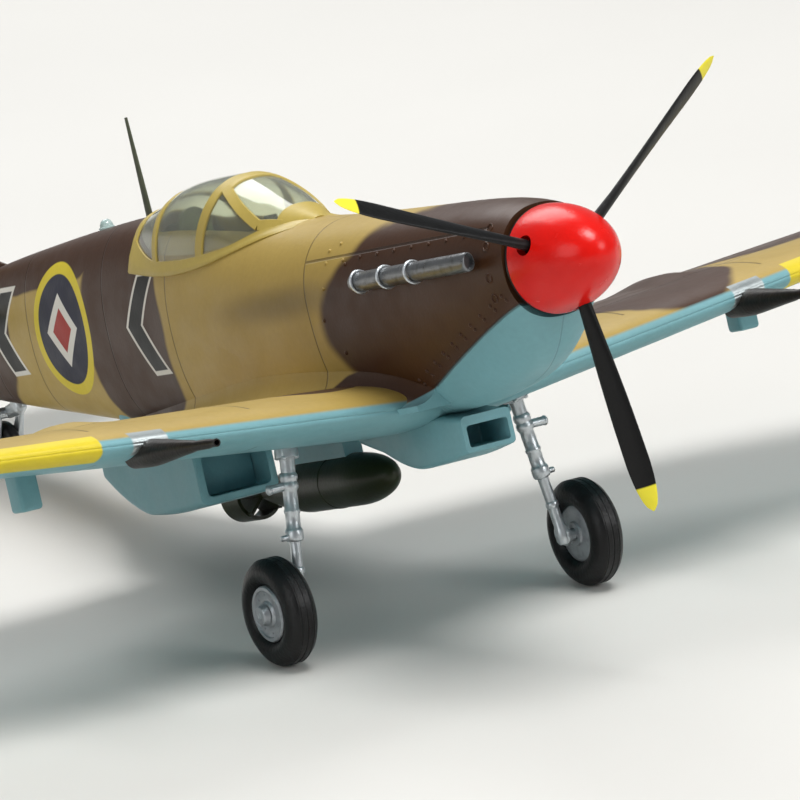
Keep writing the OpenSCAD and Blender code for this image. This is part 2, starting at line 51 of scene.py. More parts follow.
def linear(hexColour):
    parts = [int(hexColour[i:i + 2], 16) / 255 for i in (1, 3, 5)]
    return [c / 12.92 if c <= 0.04045 else ((c + 0.055) / 1.055) ** 2.4 for c in parts] + [1]


def deselect():
    if bpy.context.object and bpy.context.object.mode != "OBJECT":
        bpy.ops.object.mode_set(mode="OBJECT")
    bpy.ops.object.select_all(action="DESELECT")


def pick(piece):
    deselect()
    piece.select_set(True)
    bpy.context.view_layer.objects.active = piece


def applyModifier(piece, kind, **settings):
    pick(piece)
    mod = piece.modifiers.new(kind.title(), kind)
    for key, value in settings.items():
        setattr(mod, key, value)
    bpy.ops.object.modifier_apply(modifier=mod.name)
    return piece


def bake(piece):  # moves the object's own place into its mesh
    piece.data.transform(piece.matrix_basis)
    piece.matrix_basis = Matrix.Identity(4)
    return piece


def tidyNormals(piece):
    pick(piece)
    bpy.ops.object.mode_set(mode="EDIT")
    bpy.ops.mesh.select_all(action="SELECT")
    bpy.ops.mesh.remove_doubles(threshold=0.0005)
    bpy.ops.mesh.normals_make_consistent(inside=False)
    bpy.ops.object.mode_set(mode="OBJECT")
    return piece


def joined(name, parts):
    deselect()
    for part in parts:
        part.select_set(True)
    bpy.context.view_layer.objects.active = parts[0]
    if len(parts) > 1:
        bpy.ops.object.join()
    parts[0].name = name
    parts[0].data.name = name
    return parts[0]


def copyOf(piece, name, change=None):
    other = piece.copy()
    other.data = piece.data.copy()
    other.name = name
    other.data.name = name
    bpy.context.scene.collection.objects.link(other)
    if change is not None:
        other.data.transform(change)
        if change.determinant() < 0:
            other.data.flip_normals()
    return other


def mirrored(piece, name):
    return copyOf(piece, name, Matrix.Scale(-1, 4, (1, 0, 0)))


def cut(piece, cutter):
    applyModifier(piece, "BOOLEAN", operation="DIFFERENCE", solver="EXACT", object=cutter)
    bpy.data.objects.remove(cutter)
    return piece


def meshPiece(name, verts, faces, edges=()):
    mesh = bpy.data.meshes.new(name)
    mesh.from_pydata([tuple(v) for v in verts], edges, faces)
    mesh.update()
    piece = bpy.data.objects.new(name, mesh)
    bpy.context.scene.collection.objects.link(piece)
    return piece


def loft(name, rows, wrap=True, caps=True):  # a skin through rows of points
    n = len(rows[0])
    verts = [p for row in rows for p in row]
    faces = []
    for i in range(len(rows) - 1):
        for j in range(n if wrap else n - 1):
            a, b = i * n + j, i * n + (j + 1) % n
            faces.append((a, b, b + n, a + n))
    if caps:
        faces.append(tuple(reversed(range(n))))
        faces.append(tuple(range(len(verts) - n, len(verts))))
    return tidyNormals(meshPiece(name, verts, faces))


def turned(name, profile, place=None, steps=64):  # (radius, height) points spun round Z
    piece = meshPiece(name, [(r, 0, h) for r, h in profile], [],
                      [(i, i + 1) for i in range(len(profile) - 1)])
    pick(piece)
    bpy.ops.object.mode_set(mode="EDIT")
    bpy.ops.mesh.select_all(action="SELECT")
    bpy.ops.mesh.spin(steps=steps, angle=2 * math.pi, center=(0, 0, 0), axis=(0, 0, 1))
    bpy.ops.object.mode_set(mode="OBJECT")
    tidyNormals(piece)
    if place is not None:
        piece.data.transform(place)
    return piece


def aimed(start, end):  # lays Z along the line from start to end
    start, end = Vector(start), Vector(end)
    turn = (end - start).to_track_quat("Z", "Y").to_matrix().to_4x4()
    return Matrix.Translation(start) @ turn


def rod(start, end, radius, bevel=0.08, sides=32, tip=None):  # a round bar between two points
    length = (Vector(end) - Vector(start)).length
    deselect()
    bpy.ops.mesh.primitive_cone_add(vertices=sides, radius1=radius, depth=length,
                                    radius2=radius if tip is None else tip,
                                    location=(0, 0, length / 2))
    piece = bake(bpy.context.object)
    if bevel:
        applyModifier(piece, "BEVEL", width=bevel, segments=3, limit_method="ANGLE")
    piece.data.transform(aimed(start, end))
    return piece


def block(low, high, bevel=0.12, segments=3):
    low, high = Vector(low), Vector(high)
    deselect()
    bpy.ops.mesh.primitive_cube_add(size=1, location=(low + high) / 2)
    piece = bpy.context.object
    piece.scale = high - low
    bake(piece)
    if bevel:
        applyModifier(piece, "BEVEL", width=bevel, segments=segments, limit_method="ANGLE")
    return piece


def ball(centre, radius, squash=(1, 1, 1), rings=16):
    deselect()
    bpy.ops.mesh.primitive_uv_sphere_add(segments=rings * 2, ring_count=rings, radius=radius)
    piece = bpy.context.object
    piece.data.transform(Matrix.Translation(centre) @ Matrix.Diagonal((*squash, 1)))
    return piece


def settle(piece, body, material, slotName, *nodes, angle=35):
    pick(piece)
    bpy.ops.object.shade_smooth_by_angle(angle=math.radians(angle))
    piece.data.transform(stand)
    piece.data.materials.clear()
    piece.data.materials.append(material)
    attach(piece, body)
    if nodes:
        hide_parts(*nodes)
    return piece


cameraView = {"bearing": 30.52, "height": 15.3, "roll": -5.31, "distance": 0.9,
              "lens": 498, "target": (-0.01409, -0.05124, 0.02661)}
cam = bpy.data.cameras.new("camera")
cam.lens = cameraView["lens"]
cam.sensor_width = 36
cam.clip_start = 0.01
cam.clip_end = 20
camera = bpy.data.objects.new("camera", cam)
bpy.context.scene.collection.objects.link(camera)
bearing, height = math.radians(cameraView["bearing"]), math.radians(cameraView["height"])
forward = Vector((math.sin(bearing) * math.cos(height), math.cos(bearing) * math.cos(height),
                  -math.sin(height)))
camera.matrix_world = (
    Matrix.Translation(Vector(cameraView["target"]) - forward * cameraView["distance"])
    @ forward.to_track_quat("-Z", "Y").to_matrix().to_4x4()
    @ Matrix.Rotation(math.radians(cameraView["roll"]), 4, "Z"))
bpy.context.scene.camera = camera

studio = {"key": ((0.10, -0.25, 0.80), 0.35, 6.4), "fill": ((-0.75, -0.25, 0.35), 0.5, 1.5),
          "nose": ((0.45, -0.75, 0.45), 0.4, 2.4), "back": ((0.15, 0.65, 0.6), 0.5, 3.4)}
for name, (place, size, power) in studio.items():
    lamp = bpy.data.lights.new(name, "AREA")
    lamp.size = size
    lamp.energy = power
    light = bpy.data.objects.new(name, lamp)
    light.matrix_world = (Matrix.Translation(place)
                          @ (-Vector(place)).to_track_quat("-Z", "Y").to_matrix().to_4x4())
    bpy.context.scene.collection.objects.link(light)
world = bpy.data.worlds.new("studio")
bpy.context.scene.world = world
world.use_nodes = True
world.node_tree.nodes["Background"].inputs["Color"].default_value = linear("#dfe3e6")
world.node_tree.nodes["Background"].inputs["Strength"].default_value = 0.3
bpy.context.scene.view_settings.view_transform = "Standard"

print("camera and studio ready")


def addNode(tree, kind, inputs, output=0, **settings):  # sets and links a node, gives one output
    node = tree.nodes.new("ShaderNode" + kind)
    for key, value in settings.items():
        setattr(node, key, value)
    for key, value in inputs.items():
        if isinstance(value, bpy.types.NodeSocket):
            tree.links.new(value, node.inputs[key])
        else:
            node.inputs[key].default_value = linear(value) if isinstance(value, str) else value
    return node.outputs[output]


def newMaterial(name):
    material = bpy.data.materials.new(name)
    material.use_nodes = True
    tree = material.node_tree
    coords = addNode(tree, "TexCoord", {}, "Object")
    # back from the standing model in metres to level millimetres
    spot = addNode(tree, "Mapping", {"Vector": coords, "Scale": (1000, 1000, 1000),
                                     "Rotation": (noseUp, 0, 0), "Location": level.translation},
                   vector_type="POINT")
    return material, tree, tree.nodes["Principled BSDF"], spot


far = 99  # mm, past any edge of the model


def between(tree, value, low, high, soft=0.05):  # 1 from low to high, fading over soft each way
    rise = addNode(tree, "MapRange", {"Value": value, "From Min": low - soft, "From Max": low + soft},
                   interpolation_type="SMOOTHSTEP")
    fall = addNode(tree, "MapRange", {"Value": value, "From Min": high - soft, "From Max": high + soft,
                                      "To Min": 1, "To Max": 0}, interpolation_type="SMOOTHSTEP")
    return addNode(tree, "Math", {0: rise, 1: fall}, operation="MULTIPLY")


def nearest(tree, value, places):  # distance to the nearest of the places
    best = None
    for place in places:
        gap = addNode(tree, "Math", {0: value, 1: place}, operation="SUBTRACT")
        gap = addNode(tree, "Math", {0: gap}, operation="ABSOLUTE")
        best = gap if best is None else addNode(tree, "Math", {0: best, 1: gap}, operation="MINIMUM")
    return best


def lineMask(tree, value, places, width):  # 1 along any of the places, soft to each side
    return between(tree, nearest(tree, value, places), -far, width * 0.7, width * 0.3)


def blobField(tree, spot, blobs):  # below 1 inside any of the soft ellipsoids
    best = None
    for centre, radii in blobs:
        away = addNode(tree, "VectorMath", {0: spot, 1: centre}, operation="SUBTRACT")
        scaled = addNode(tree, "VectorMath", {0: away, 1: radii}, operation="DIVIDE")
        size = addNode(tree, "VectorMath", {0: scaled}, "Value", operation="LENGTH")
        best = size if best is None else addNode(tree, "Math", {0: best, 1: size}, operation="MINIMUM")
    return best


def paintOver(tree, colour, layers):  # lays each colour over the last through its mask
    for mask, shade in layers:
        colour = addNode(tree, "Mix", {0: mask, 6: colour, 7: shade}, 2, data_type="RGBA")
    return colour


paint = {"stone": "#b89d52", "brown": "#442814", "blue": "#79adb6", "yellow": "#e4cf2a",
         "wash": "#1d1712", "navy": "#0e1230", "white": "#e8e6de", "red": "#a82418",
         "black": "#0a0a0a", "bare": "#b9c2c4", "frame": "#c3ad59"}

print("material tools ready")

# body shape: distance aft, half width, top, bottom
stations = [(2.9, 4.6, 4.75, -4.7), (5, 4.8, 5.15, -7.3), (8, 5.05, 5.5, -9.1),
            (13, 5.3, 5.8, -10.3), (19, 5.55, 6, -11), (27, 5.9, 6.3, -11.4),
            (38, 6.3, 6.85, -11.6), (48, 6.35, 8, -11.3), (58, 5.85, 9.3, -10.3),
            (66, 5.2, 9.8, -9.2), (76, 4.55, 9.5, -7.9), (86, 3.75, 8.9, -6.4),
            (96, 2.85, 8.1, -4.9), (106, 1.8, 6.8, -3.3), (112.2, 1, 5.6, -2.2)]
hoodStations = [(39, 1, 6.9), (42, 3.1, 8.3), (46, 4.5, 10.3), (49.5, 4.95, 11.6),
                (53.5, 5.1, 11.9), (58, 5, 11.7), (61, 4.8, 11), (66, 4, 10)]
wing = {"span": 156, "rootChord": 35.3, "spar": 30.4, "height": -10, "edge": 0.1,
        "dihedral": math.tan(math.radians(6)), "tip": 77.3}
bodyWall = 0.9
canopyBase = 4.6


def smooth(table, y, column):
    i = 0
    while i < len(table) - 2 and y > table[i + 1][0]:
        i += 1

    def slope(k):
        a, b = max(k - 1, 0), min(k + 1, len(table) - 1)
        return (table[b][column] - table[a][column]) / (table[b][0] - table[a][0])

    reach = table[i + 1][0] - table[i][0]
    u = (y - table[i][0]) / reach
    return (table[i][column] * (2 * u ** 3 - 3 * u * u + 1) + slope(i) * reach * (u ** 3 - 2 * u * u + u)
            + table[i + 1][column] * (3 * u * u - 2 * u ** 3)
            + slope(i + 1) * reach * (u ** 3 - u * u))


def power(value, p):
    return math.copysign(abs(value) ** p, value)


def bodyPoint(y, angle, grow=0):  # angle 90 at the top, 0 at the port side, -90 underneath
    a = math.radians(angle)
    middle = -0.2 * (1 - y / 140) + 2.2 * max(0, y - 55) / 57
    width = smooth(stations, y, 1) + grow
    top = smooth(stations, y, 2) + grow - middle
    low = smooth(stations, y, 3) - grow - middle
    rise = top * power(math.sin(a), 0.9) if a >= 0 else -low * power(math.sin(a), 0.9)
    return Vector((width * power(math.cos(a), 0.86), y, middle + rise))


def bodyNormal(y, angle):
    out = (bodyPoint(y + 0.2, angle) - bodyPoint(y - 0.2, angle)).cross(
        bodyPoint(y, angle + 0.5) - bodyPoint(y, angle - 0.5))
    return out.normalized()


def angleAt(y, height):  # where on the port side the body is at that height
    low, high = -90.0, 90.0
    for _ in range(40):
        half = (low + high) / 2
        if bodyPoint(y, half).z < height:
            low = half
        else:
            high = half
    return (low + high) / 2


def hoodPoint(y, angle, grow=0):
    a = math.radians(angle)
    width = smooth(hoodStations, y, 1) + grow
    rise = smooth(hoodStations, y, 2) + grow - canopyBase
    return Vector((width * power(math.cos(a), 0.8), y, canopyBase + rise * power(math.sin(a), 0.9)))


def chord(x):
    return wing["rootChord"] * math.sqrt(max(0, 1 - (2 * x / wing["span"]) ** 2))


def wingHeight(x):
    return wing["height"] + max(0, x - 4) * wing["dihedral"]


def wingPoint(x, u, side):  # u from 0 at the leading edge to 1; side 1 on top, 0 between, -1 below
    c = chord(x)
    depth = 0.13 - 0.06 * 2 * x / wing["span"]
    half = 5 * (0.2969 * math.sqrt(u) - 0.126 * u - 0.3516 * u * u + 0.2843 * u ** 3 - 0.1036 * u ** 4)
    z = c * (0.05 * u * (1 - u) + side * half * depth) + side * wing["edge"]
    return Vector((x, wing["spar"] - c / 4 + u * c, wingHeight(x) + z))


print("shape functions ready")

# brown patches as soft ellipsoids: centre and radii
bodyBlobs = [((0, 14, -2.1), (20, 19, 8.5)), ((0, 7, 1.5), (20, 11, 8)),
             ((0, 68.5, 0), (20, 8.6, 14)), ((0, 86, 9.5), (20, 18, 4.2)),
             ((0, 100, 3), (20, 7, 8)), ((0, 28.5, -9.2), (20, 5.5, 3))]
wingBlobs = [((-23, 47, -8), (9, 12, 20)), ((-47, 38, -6), (9, 15, 20)),
             ((-70, 42, -4), (6, 12, 20)), ((25, 34, -8), (8, 12, 20)),
             ((40, 45, -6), (9, 14, 20)), ((58, 34, -5), (7, 10, 20)),
             ((-9, 31, -8.5), (3.5, 4, 20)), ((13, 56, -8), (7, 7, 20))]
tailBlobs = [((-14, 104, 4), (6, 9, 20)), ((12, 108, 4), (7, 8, 20))]
wingGun = {"x": 29.5}
blade = {"chord": 2.1, "reach": 20.5, "from": 1.5, "yellowFrom": 19.9}
tailplane = {"centre": 106, "height": 4.1, "half": 22.2, "chord": 7.4, "thick": 0.75, "hinge": 107.4}


def camouflage(name, blobs, wander):  # brown over stone, edges wandering by this many mm
    material, tree, shader, spot = newMaterial(name)
    wobble = addNode(tree, "TexNoise", {"Vector": spot, "Scale": 1 / 7}, "Color")
    moved = addNode(tree, "VectorMath", {0: wobble, 1: (wander, wander, wander), 2: spot},
                    operation="MULTIPLY_ADD")
    middle = Vector((wander, wander, wander)) / 2
    field = blobField(tree, moved, [(Vector(centre) + middle, radii) for centre, radii in blobs])
    brown = between(tree, field, -1, 0.995, 0.04)
    return material, tree, shader, spot, paintOver(tree, paint["stone"], [(brown, paint["brown"])])


def finishPaint(tree, shader, spot, colour, lines, roughness=0.36):
    # airbrushed satin acrylic: slightly cloudy, with a fine grain and dirt in the panel lines
    for size, detail, share, tint in ((9, 3, 0.5, "#c9c2b6"), (0.5, 2, 0.12, "#2a2018")):
        noise = addNode(tree, "TexNoise", {"Vector": spot, "Scale": 1 / size, "Detail": detail})
        share = addNode(tree, "Math", {0: noise, 1: share}, operation="MULTIPLY")
        colour = addNode(tree, "Mix", {0: share, 6: colour, 7: tint}, 2, data_type="RGBA",
                         blend_type="MULTIPLY")
    dirt = addNode(tree, "Math", {0: lines, 1: 0.5}, operation="MULTIPLY")
    tree.links.new(paintOver(tree, colour, [(dirt, paint["wash"])]), shader.inputs["Base Color"])
    uneven = addNode(tree, "TexNoise", {"Vector": spot, "Scale": 1 / 3, "Detail": 3})
    rough = addNode(tree, "MapRange", {"Value": uneven, "From Min": 0.3, "From Max": 0.7,
                                       "To Min": roughness, "To Max": roughness + 0.12},
                    interpolation_type="SMOOTHSTEP")
    tree.links.new(rough, shader.inputs["Roughness"])
    shader.inputs["IOR"].default_value = 1.5
    shader.inputs["Specular IOR Level"].default_value = 0.32
    grain = addNode(tree, "TexNoise", {"Vector": spot, "Scale": 1 / 0.35})
    grain = addNode(tree, "Math", {0: grain, 1: 0.12}, operation="MULTIPLY")
    height = addNode(tree, "Math", {0: grain, 1: lines}, operation="SUBTRACT")
    bump = addNode(tree, "Bump", {"Strength": 0.8, "Distance": 0.0001, "Height": height})
    tree.links.new(bump, shader.inputs["Normal"])


marks = {"aft": 81.3, "up": 1.6, "radius": 5.9, "rim": 1, "white": 3.3, "red": 2,
         "chevrons": ((64.6, 0.9, 4.1), (94.2, 2.2, 3.5)), "arm": 1.35, "slope": 0.75, "edge": 0.42}


def bodyPaint():  # satin acrylic over moulded plastic: soft patches, dull sheen, dark panel lines
    material, tree, shader, spot, colour = camouflage("satinBodyPaint", bodyBlobs, 2.2)
    across, aft, up = addNode(tree, "SeparateXYZ", {0: spot}).node.outputs
    side = addNode(tree, "Math", {0: across}, operation="ABSOLUTE")
    # blue below a line that falls away aft from the spinner, runs level and rises at the tail
    fall = addNode(tree, "MapRange", {"Value": aft, "From Min": 1.5, "From Max": 22,
                                      "To Min": -2.5, "To Max": -9.5})
    rise = addNode(tree, "MapRange", {"Value": aft, "From Min": 66, "From Max": 106,
                                      "To Min": 0, "To Max": 5.2})
    edge = addNode(tree, "Math", {0: fall, 1: rise}, operation="ADD")
    below = addNode(tree, "Math", {0: edge, 1: up}, operation="SUBTRACT")
    # soot behind the exhausts
    soot = blobField(tree, spot, [((0, 38, 0.6), (30, 15, 2.2))])
    soot = addNode(tree, "Math", {0: between(tree, soot, -1, 0.575, 0.425), 1: 0.45},
                   operation="MULTIPLY")
    layers = [(between(tree, below, 0, far, 0.1), paint["blue"]), (soot, paint["wash"])]
    # round badge: yellow rim, navy disc, white-edged red lozenge
    fromAft, fromUp = nearest(tree, aft, [marks["aft"]]), nearest(tree, up, [marks["up"]])
    away = addNode(tree, "CombineXYZ", {0: fromAft, 1: fromUp})
    reach = addNode(tree, "VectorMath", {0: away}, "Value", operation="LENGTH")
    lozenge = addNode(tree, "Math", {0: fromAft, 1: fromUp}, operation="ADD")
    shapes = [(between(tree, field, -1, size, 0.06), paint[shade]) for field, size, shade in (
        (reach, marks["radius"], "yellow"), (reach, marks["radius"] - marks["rim"], "navy"),
        (lozenge, marks["white"], "white"), (lozenge, marks["red"], "red"))]
    # plain black chevrons with a white edge, before and behind the badge
    for middle, lift, half in marks["chevrons"]:
        lift = nearest(tree, up, [lift])
        bend = addNode(tree, "Math", {0: aft, 1: middle + 1.4}, operation="SUBTRACT")
        bend = addNode(tree, "Math", {0: lift, 1: marks["slope"], 2: bend}, operation="MULTIPLY_ADD")
        for extra, shade in ((marks["edge"], "white"), (0, "black")):
            arm = between(tree, bend, -marks["arm"] - extra, marks["arm"] + extra)
            tall = between(tree, lift, -far, half + extra + 0.05)
            arm = addNode(tree, "Math", {0: arm, 1: tall}, operation="MULTIPLY")
            shapes.append((arm, paint[shade]))
    onSide = between(tree, side, 1.4, far, 0.2)
    for mask, shade in shapes:
        layers.append((addNode(tree, "Math", {0: mask, 1: onSide}, operation="MULTIPLY"), shade))
    # panel rings, the cowling ledge, the seam down the middle and the edge of the chin panel
    lines = lineMask(tree, aft, (33.6, 58.6, 71.8, 88.6, 98), 0.12)
    for one, other in ((lineMask(tree, up, (3.6,), 0.14), between(tree, aft, 5.2, 33.6)),
                       (between(tree, side, -1, 0.065, 0.035), 0.4),
                       (lineMask(tree, below, (0,), 0.16), between(tree, aft, 2, 19))):
        line = addNode(tree, "Math", {0: one, 1: other}, operation="MULTIPLY")
        lines = addNode(tree, "Math", {0: lines, 1: line}, operation="MAXIMUM")
    finishPaint(tree, shader, spot, paintOver(tree, colour, layers), lines)
    return material


def tailplanePaint():  # the same satin acrylic, brown and stone above, blue below
    material, tree, shader, spot, colour = camouflage("satinTailPaint", tailBlobs, 2)
    aft, up = addNode(tree, "SeparateXYZ", {0: spot}).node.outputs[1:]
    under = between(tree, up, -far, tailplane["height"], 0.08)
    finishPaint(tree, shader, spot, paintOver(tree, colour, [(under, paint["blue"])]),
                lineMask(tree, aft, (tailplane["hinge"],), 0.16))
    return material


def wingPaint():  # the same satin acrylic, with a yellow edge stripe outboard
    material, tree, shader, spot, colour = camouflage("satinWingPaint", wingBlobs, 3)
    place = addNode(tree, "UVMap", {}, uv_map="edgeMap")
    back, out = addNode(tree, "SeparateXYZ", {0: place}).node.outputs[:2]
    under = between(tree, back, -far, 0.725, 0.225)  # the blue wraps over the edge
    stripe = addNode(tree, "Math", {0: between(tree, back, -2.3, 1.8),
                                    1: between(tree, out, 33.9, far, 0.1)}, operation="MULTIPLY")
    bare = addNode(tree, "Math", {0: between(tree, out, wingGun["x"] - 1.6, wingGun["x"] + 1.6, 0.1),
                                  1: between(tree, back, -1.4, 1.4, 0.1)}, operation="MULTIPLY")
    colour = paintOver(tree, colour, [(under, paint["blue"]), (stripe, paint["yellow"]),
                                      (bare, paint["bare"])])
    metal = addNode(tree, "Math", {0: bare, 1: 0.9}, operation="MULTIPLY")
    tree.links.new(metal, shader.inputs["Metallic"])
    away = addNode(tree, "Math", {0: back}, operation="ABSOLUTE")
    ribs = addNode(tree, "Math", {0: lineMask(tree, out, (18.5, 33.2, 44, 68.5), 0.16),
                                  1: between(tree, away, 3.5, far, 0.1)}, operation="MULTIPLY")
    hinge = lineMask(tree, away, (9.5,), 0.14)
    lines = addNode(tree, "Math", {0: ribs, 1: hinge}, operation="MAXIMUM")
    finishPaint(tree, shader, spot, colour, lines)
    return material


def brushedPaint(name, shade, patchSize, thin, roughness):  # brushed-on satin acrylic, one colour
    material, tree, shader, spot = newMaterial(name)
    patches = addNode(tree, "TexNoise", {"Vector": spot, "Scale": 1 / patchSize, "Detail": 3})
    thin = addNode(tree, "Math", {0: patches, 1: thin}, operation="MULTIPLY")
    finishPaint(tree, shader, spot, shade, thin, roughness)
    return material


def coated(name, base, wear, roughness, metallic=0, size=1.2, share=0.35, depth=0.02, coat=0):
    # one colour with a second worn into it in patches of this size in mm
    material, tree, shader, spot = newMaterial(name)
    worn = addNode(tree, "TexNoise", {"Vector": spot, "Scale": 1 / size, "Detail": 4})
    worn = addNode(tree, "Math", {0: between(tree, worn, 0.6, 9, 0.15), 1: share},
                   operation="MULTIPLY")
    tree.links.new(paintOver(tree, base, [(worn, wear)]), shader.inputs["Base Color"])
    uneven = addNode(tree, "TexNoise", {"Vector": spot, "Scale": 1 / (size * 0.6), "Detail": 3})
    rough = addNode(tree, "Math", {0: uneven, 1: 0.16, 2: roughness - 0.08}, operation="MULTIPLY_ADD")
    tree.links.new(rough, shader.inputs["Roughness"])
    shader.inputs["Metallic"].default_value = metallic
    if metallic < 0.5:
        shader.inputs["IOR"].default_value = 1.5
        shader.inputs["Specular IOR Level"].default_value = 0.3
    shader.inputs["Coat Weight"].default_value = coat
    grain = addNode(tree, "TexNoise", {"Vector": spot, "Scale": 1 / 0.3, "Detail": 3})
    bump = addNode(tree, "Bump", {"Distance": depth * 0.001, "Height": grain})
    tree.links.new(bump, shader.inputs["Normal"])
    return material


def bladePaint():  # semi-gloss black enamel with yellow tips: a soft highlight along each blade
    material, tree, shader, spot = newMaterial("blackBladeEnamel")
    flat = addNode(tree, "VectorMath", {0: spot, 1: (1, 0, 1)}, operation="MULTIPLY")
    radius = addNode(tree, "VectorMath", {0: flat}, "Value", operation="LENGTH")
    mottle = addNode(tree, "TexNoise", {"Vector": spot, "Scale": 1 / 1.5, "Detail": 3})
    tip = between(tree, radius, blade["yellowFrom"] + 0.025, far, 0.075)
    colour = paintOver(tree, "#050506", [(mottle, "#0b0b0b"), (tip, "#e6d93a")])
    tree.links.new(colour, shader.inputs["Base Color"])
    uneven = addNode(tree, "TexNoise", {"Vector": spot, "Scale": 1, "Detail": 3})
    rough = addNode(tree, "Math", {0: uneven, 1: 0.15, 2: 0.33}, operation="MULTIPLY_ADD")
    tree.links.new(rough, shader.inputs["Roughness"])
    shader.inputs["IOR"].default_value = 1.5
    shader.inputs["Specular IOR Level"].default_value = 0.25
    grain = addNode(tree, "TexNoise", {"Vector": spot, "Scale": 1 / 0.4, "Detail": 3})
    bump = addNode(tree, "Bump", {"Distance": 0.00003, "Height": grain})
    tree.links.new(bump, shader.inputs["Normal"])
    return material


def clearPlastic():  # clear moulded styrene: see-through, faintly yellow, slightly hazy
    material, tree, shader, spot = newMaterial("clearStyrene")
    tint = addNode(tree, "TexNoise", {"Vector": spot, "Scale": 1 / 4, "Detail": 3})
    tree.links.new(paintOver(tree, "#f4f6e4", [(tint, "#e9efd9")]), shader.inputs["Base Color"])
    shader.inputs["Transmission Weight"].default_value = 0.92
    shader.inputs["IOR"].default_value = 1.49
    haze = addNode(tree, "TexNoise", {"Vector": spot, "Scale": 1 / 2, "Detail": 3})
    haze = addNode(tree, "Math", {0: haze, 1: 0.12}, operation="MULTIPLY")
    tree.links.new(haze, shader.inputs["Roughness"])
    return material


finishes = {
    "body": bodyPaint(), "wing": wingPaint(), "tailplane": tailplanePaint(),
    "blade": bladePaint(), "clear": clearPlastic(),
    "stone": brushedPaint("satinStonePaint", paint["frame"], 1.5, 0.12, 0.34),  # canopy frames
    "blue": brushedPaint("satinBluePaint", paint["blue"], 2, 0.05, 0.33),  # underside fittings
    # glossy red, a clear highlight
    "red": coated("glossRedEnamel", "#d31108", "#bd0d05", 0.24, size=3),
    # near-black, soft sheen
    "black": coated("blackEnamel", "#0b0b0b", "#171615", 0.4),
    # moulded rubbery plastic, dull black
    "rubber": coated("blackRubber", "#0a0a0b", "#141414", 0.38, size=0.8, depth=0.04),
    # brushed metal paints, grainy and half metallic
    "silver": coated("silverPaint", "#c3c8cb", "#989da0", 0.32, 0.75, 0.8, 0.4, 0.03),
    "hubMetal": coated("aluminiumPaint", "#a4a8ac", "#7c7f83", 0.4, 0.65, 0.7, 0.5, 0.04),
    "exhaust": coated("gunmetalPaint", "#7d7f81", "#383532", 0.3, 0.85, 1.0, 0.5, 0.03),
    "bronze": coated("darkBronzePaint", "#1c1815", "#33291f", 0.38, 0.3, 0.8, 0.4, 0.03),
    # bright turned steel pins
    "steel": coated("turnedSteel", "#b8babc", "#8f9193", 0.28, 1.0),
    # bare moulded plastic, even and matt
    "plastic": coated("greyStyrene", "#8c8c84", "#7b7b74", 0.5),
    # flat acrylics inside the cockpit and on small parts
    "cockpit": coated("cockpitGreenPaint", "#5d6a4e", "#3f4936", 0.5),
    "dark": coated("mattBlackPaint", "#262723", "#3a3a35", 0.55),
    "mast": coated("mastGreenPaint", "#4b4f3e", "#35382c", 0.45),
    # radiator matrix: the underside blue, painted darker as shade for the inside of the duct
    "matrix": coated("blueWithPaintedShade", "#6797a0", "#568690", 0.5),
    # varnished pale green lamp, wet looking
    "lamp": coated("clearLampPaint", "#9fb4b0", "#c6d2cf", 0.2, coat=0.6),
    # semi-gloss olive drab on the store
    "olive": coated("oliveStorePaint", "#20260f", "#2d3316", 0.33, size=2.5),
}
nodeFinish = {
    "body": ("fuselage_left", "fuselage_right", "tail_fin", "rudder"),
    "wing": ("wing_upper_left", "wing_upper_right", "wing_lower"),
    "tailplane": ("tailplane_left", "tailplane_right"),
    "blue": ("carburettor_intake", "radiator_housing", "oil_cooler", "landing_lamp_left",
              "landing_lamp_right", "store_rack", "stand_socket"),
    "blade": ("propeller_blade_1", "propeller_blade_2", "propeller_blade_3"),
    "black": ("spinner_backplate", "propeller_hub"), "red": ("spinner",),
    "steel": ("propeller_shaft", "tail_axle"), "plastic": ("shaft_bush", "shaft_collar"),
    "clear": ("canopy",), "cockpit": ("cockpit_floor", "cockpit_bulkhead"),
    "dark": ("pilot_seat", "instrument_panel", "control_stick", "gunsight"),
    "mast": ("aerial_mast",), "lamp": ("spine_light",),
    "exhaust": ("exhaust_left", "exhaust_right"), "bronze": ("cannon_left", "cannon_right"),
    "matrix": ("radiator_matrix",), "silver": ("gear_leg_left", "gear_leg_right", "pitot_tube",
                                              "tail_wheel_leg"),
    "rubber": ("main_tyre_left", "main_tyre_right", "tail_wheel"),
    "hubMetal": ("main_wheel_left", "main_wheel_right", "axle_cap_left", "axle_cap_right"),
    "olive": ("store_body", "store_tail"),
}
for finish, nodes in nodeFinish.items():
    for node in nodes:
        data = frame["nodes"][node].data
        data.materials.clear()
        data.materials.append(finishes[finish])

print("materials ready")


# fuselage: two half shells that meet on the centre line, each with its wing-root fillet
cockpit = {"radius": 3.2, "front": 46, "rear": 60.5}
fillet = [(19.6, -8.6, 5.9, -9.7), (24, -7, 7.4, -9.6), (30, -6, 8.6, -8.7), (44, -5.2, 9.6, -8.2),
          (56, -5.9, 10, -8.9), (63, -6.4, 9, -9.5), (69, -6.8, 6.8, -9.3), (75, -7.2, 4.9, -8.6)]


def filletSolid():
    rows = []
    for i in range(57):
        y = fillet[0][0] + i * (fillet[-1][0] - fillet[0][0]) / 56
        top, toeX, toeZ = (smooth(fillet, y, k) for k in (1, 2, 3))
        start = bodyPoint(y, angleAt(y, top), 0.02)
        corner = Vector((start.x + 0.12 * (toeX - start.x), y, toeZ + 0.18 * (top - toeZ)))
        toe = Vector((toeX, y, toeZ))
        inner = Vector((start.x - 1.2, y, top))
        curve = []
        for j in range(13):
            t = j / 12
            curve.append(start * (1 - t) ** 2 + corner * 2 * t * (1 - t) + toe * t * t)
        rows.append([inner] + curve + [toe + Vector((-0.1, 0, -0.5)),
                                       inner + Vector((0, 0, toeZ - top - 0.5))])
    return loft("fillet", rows)


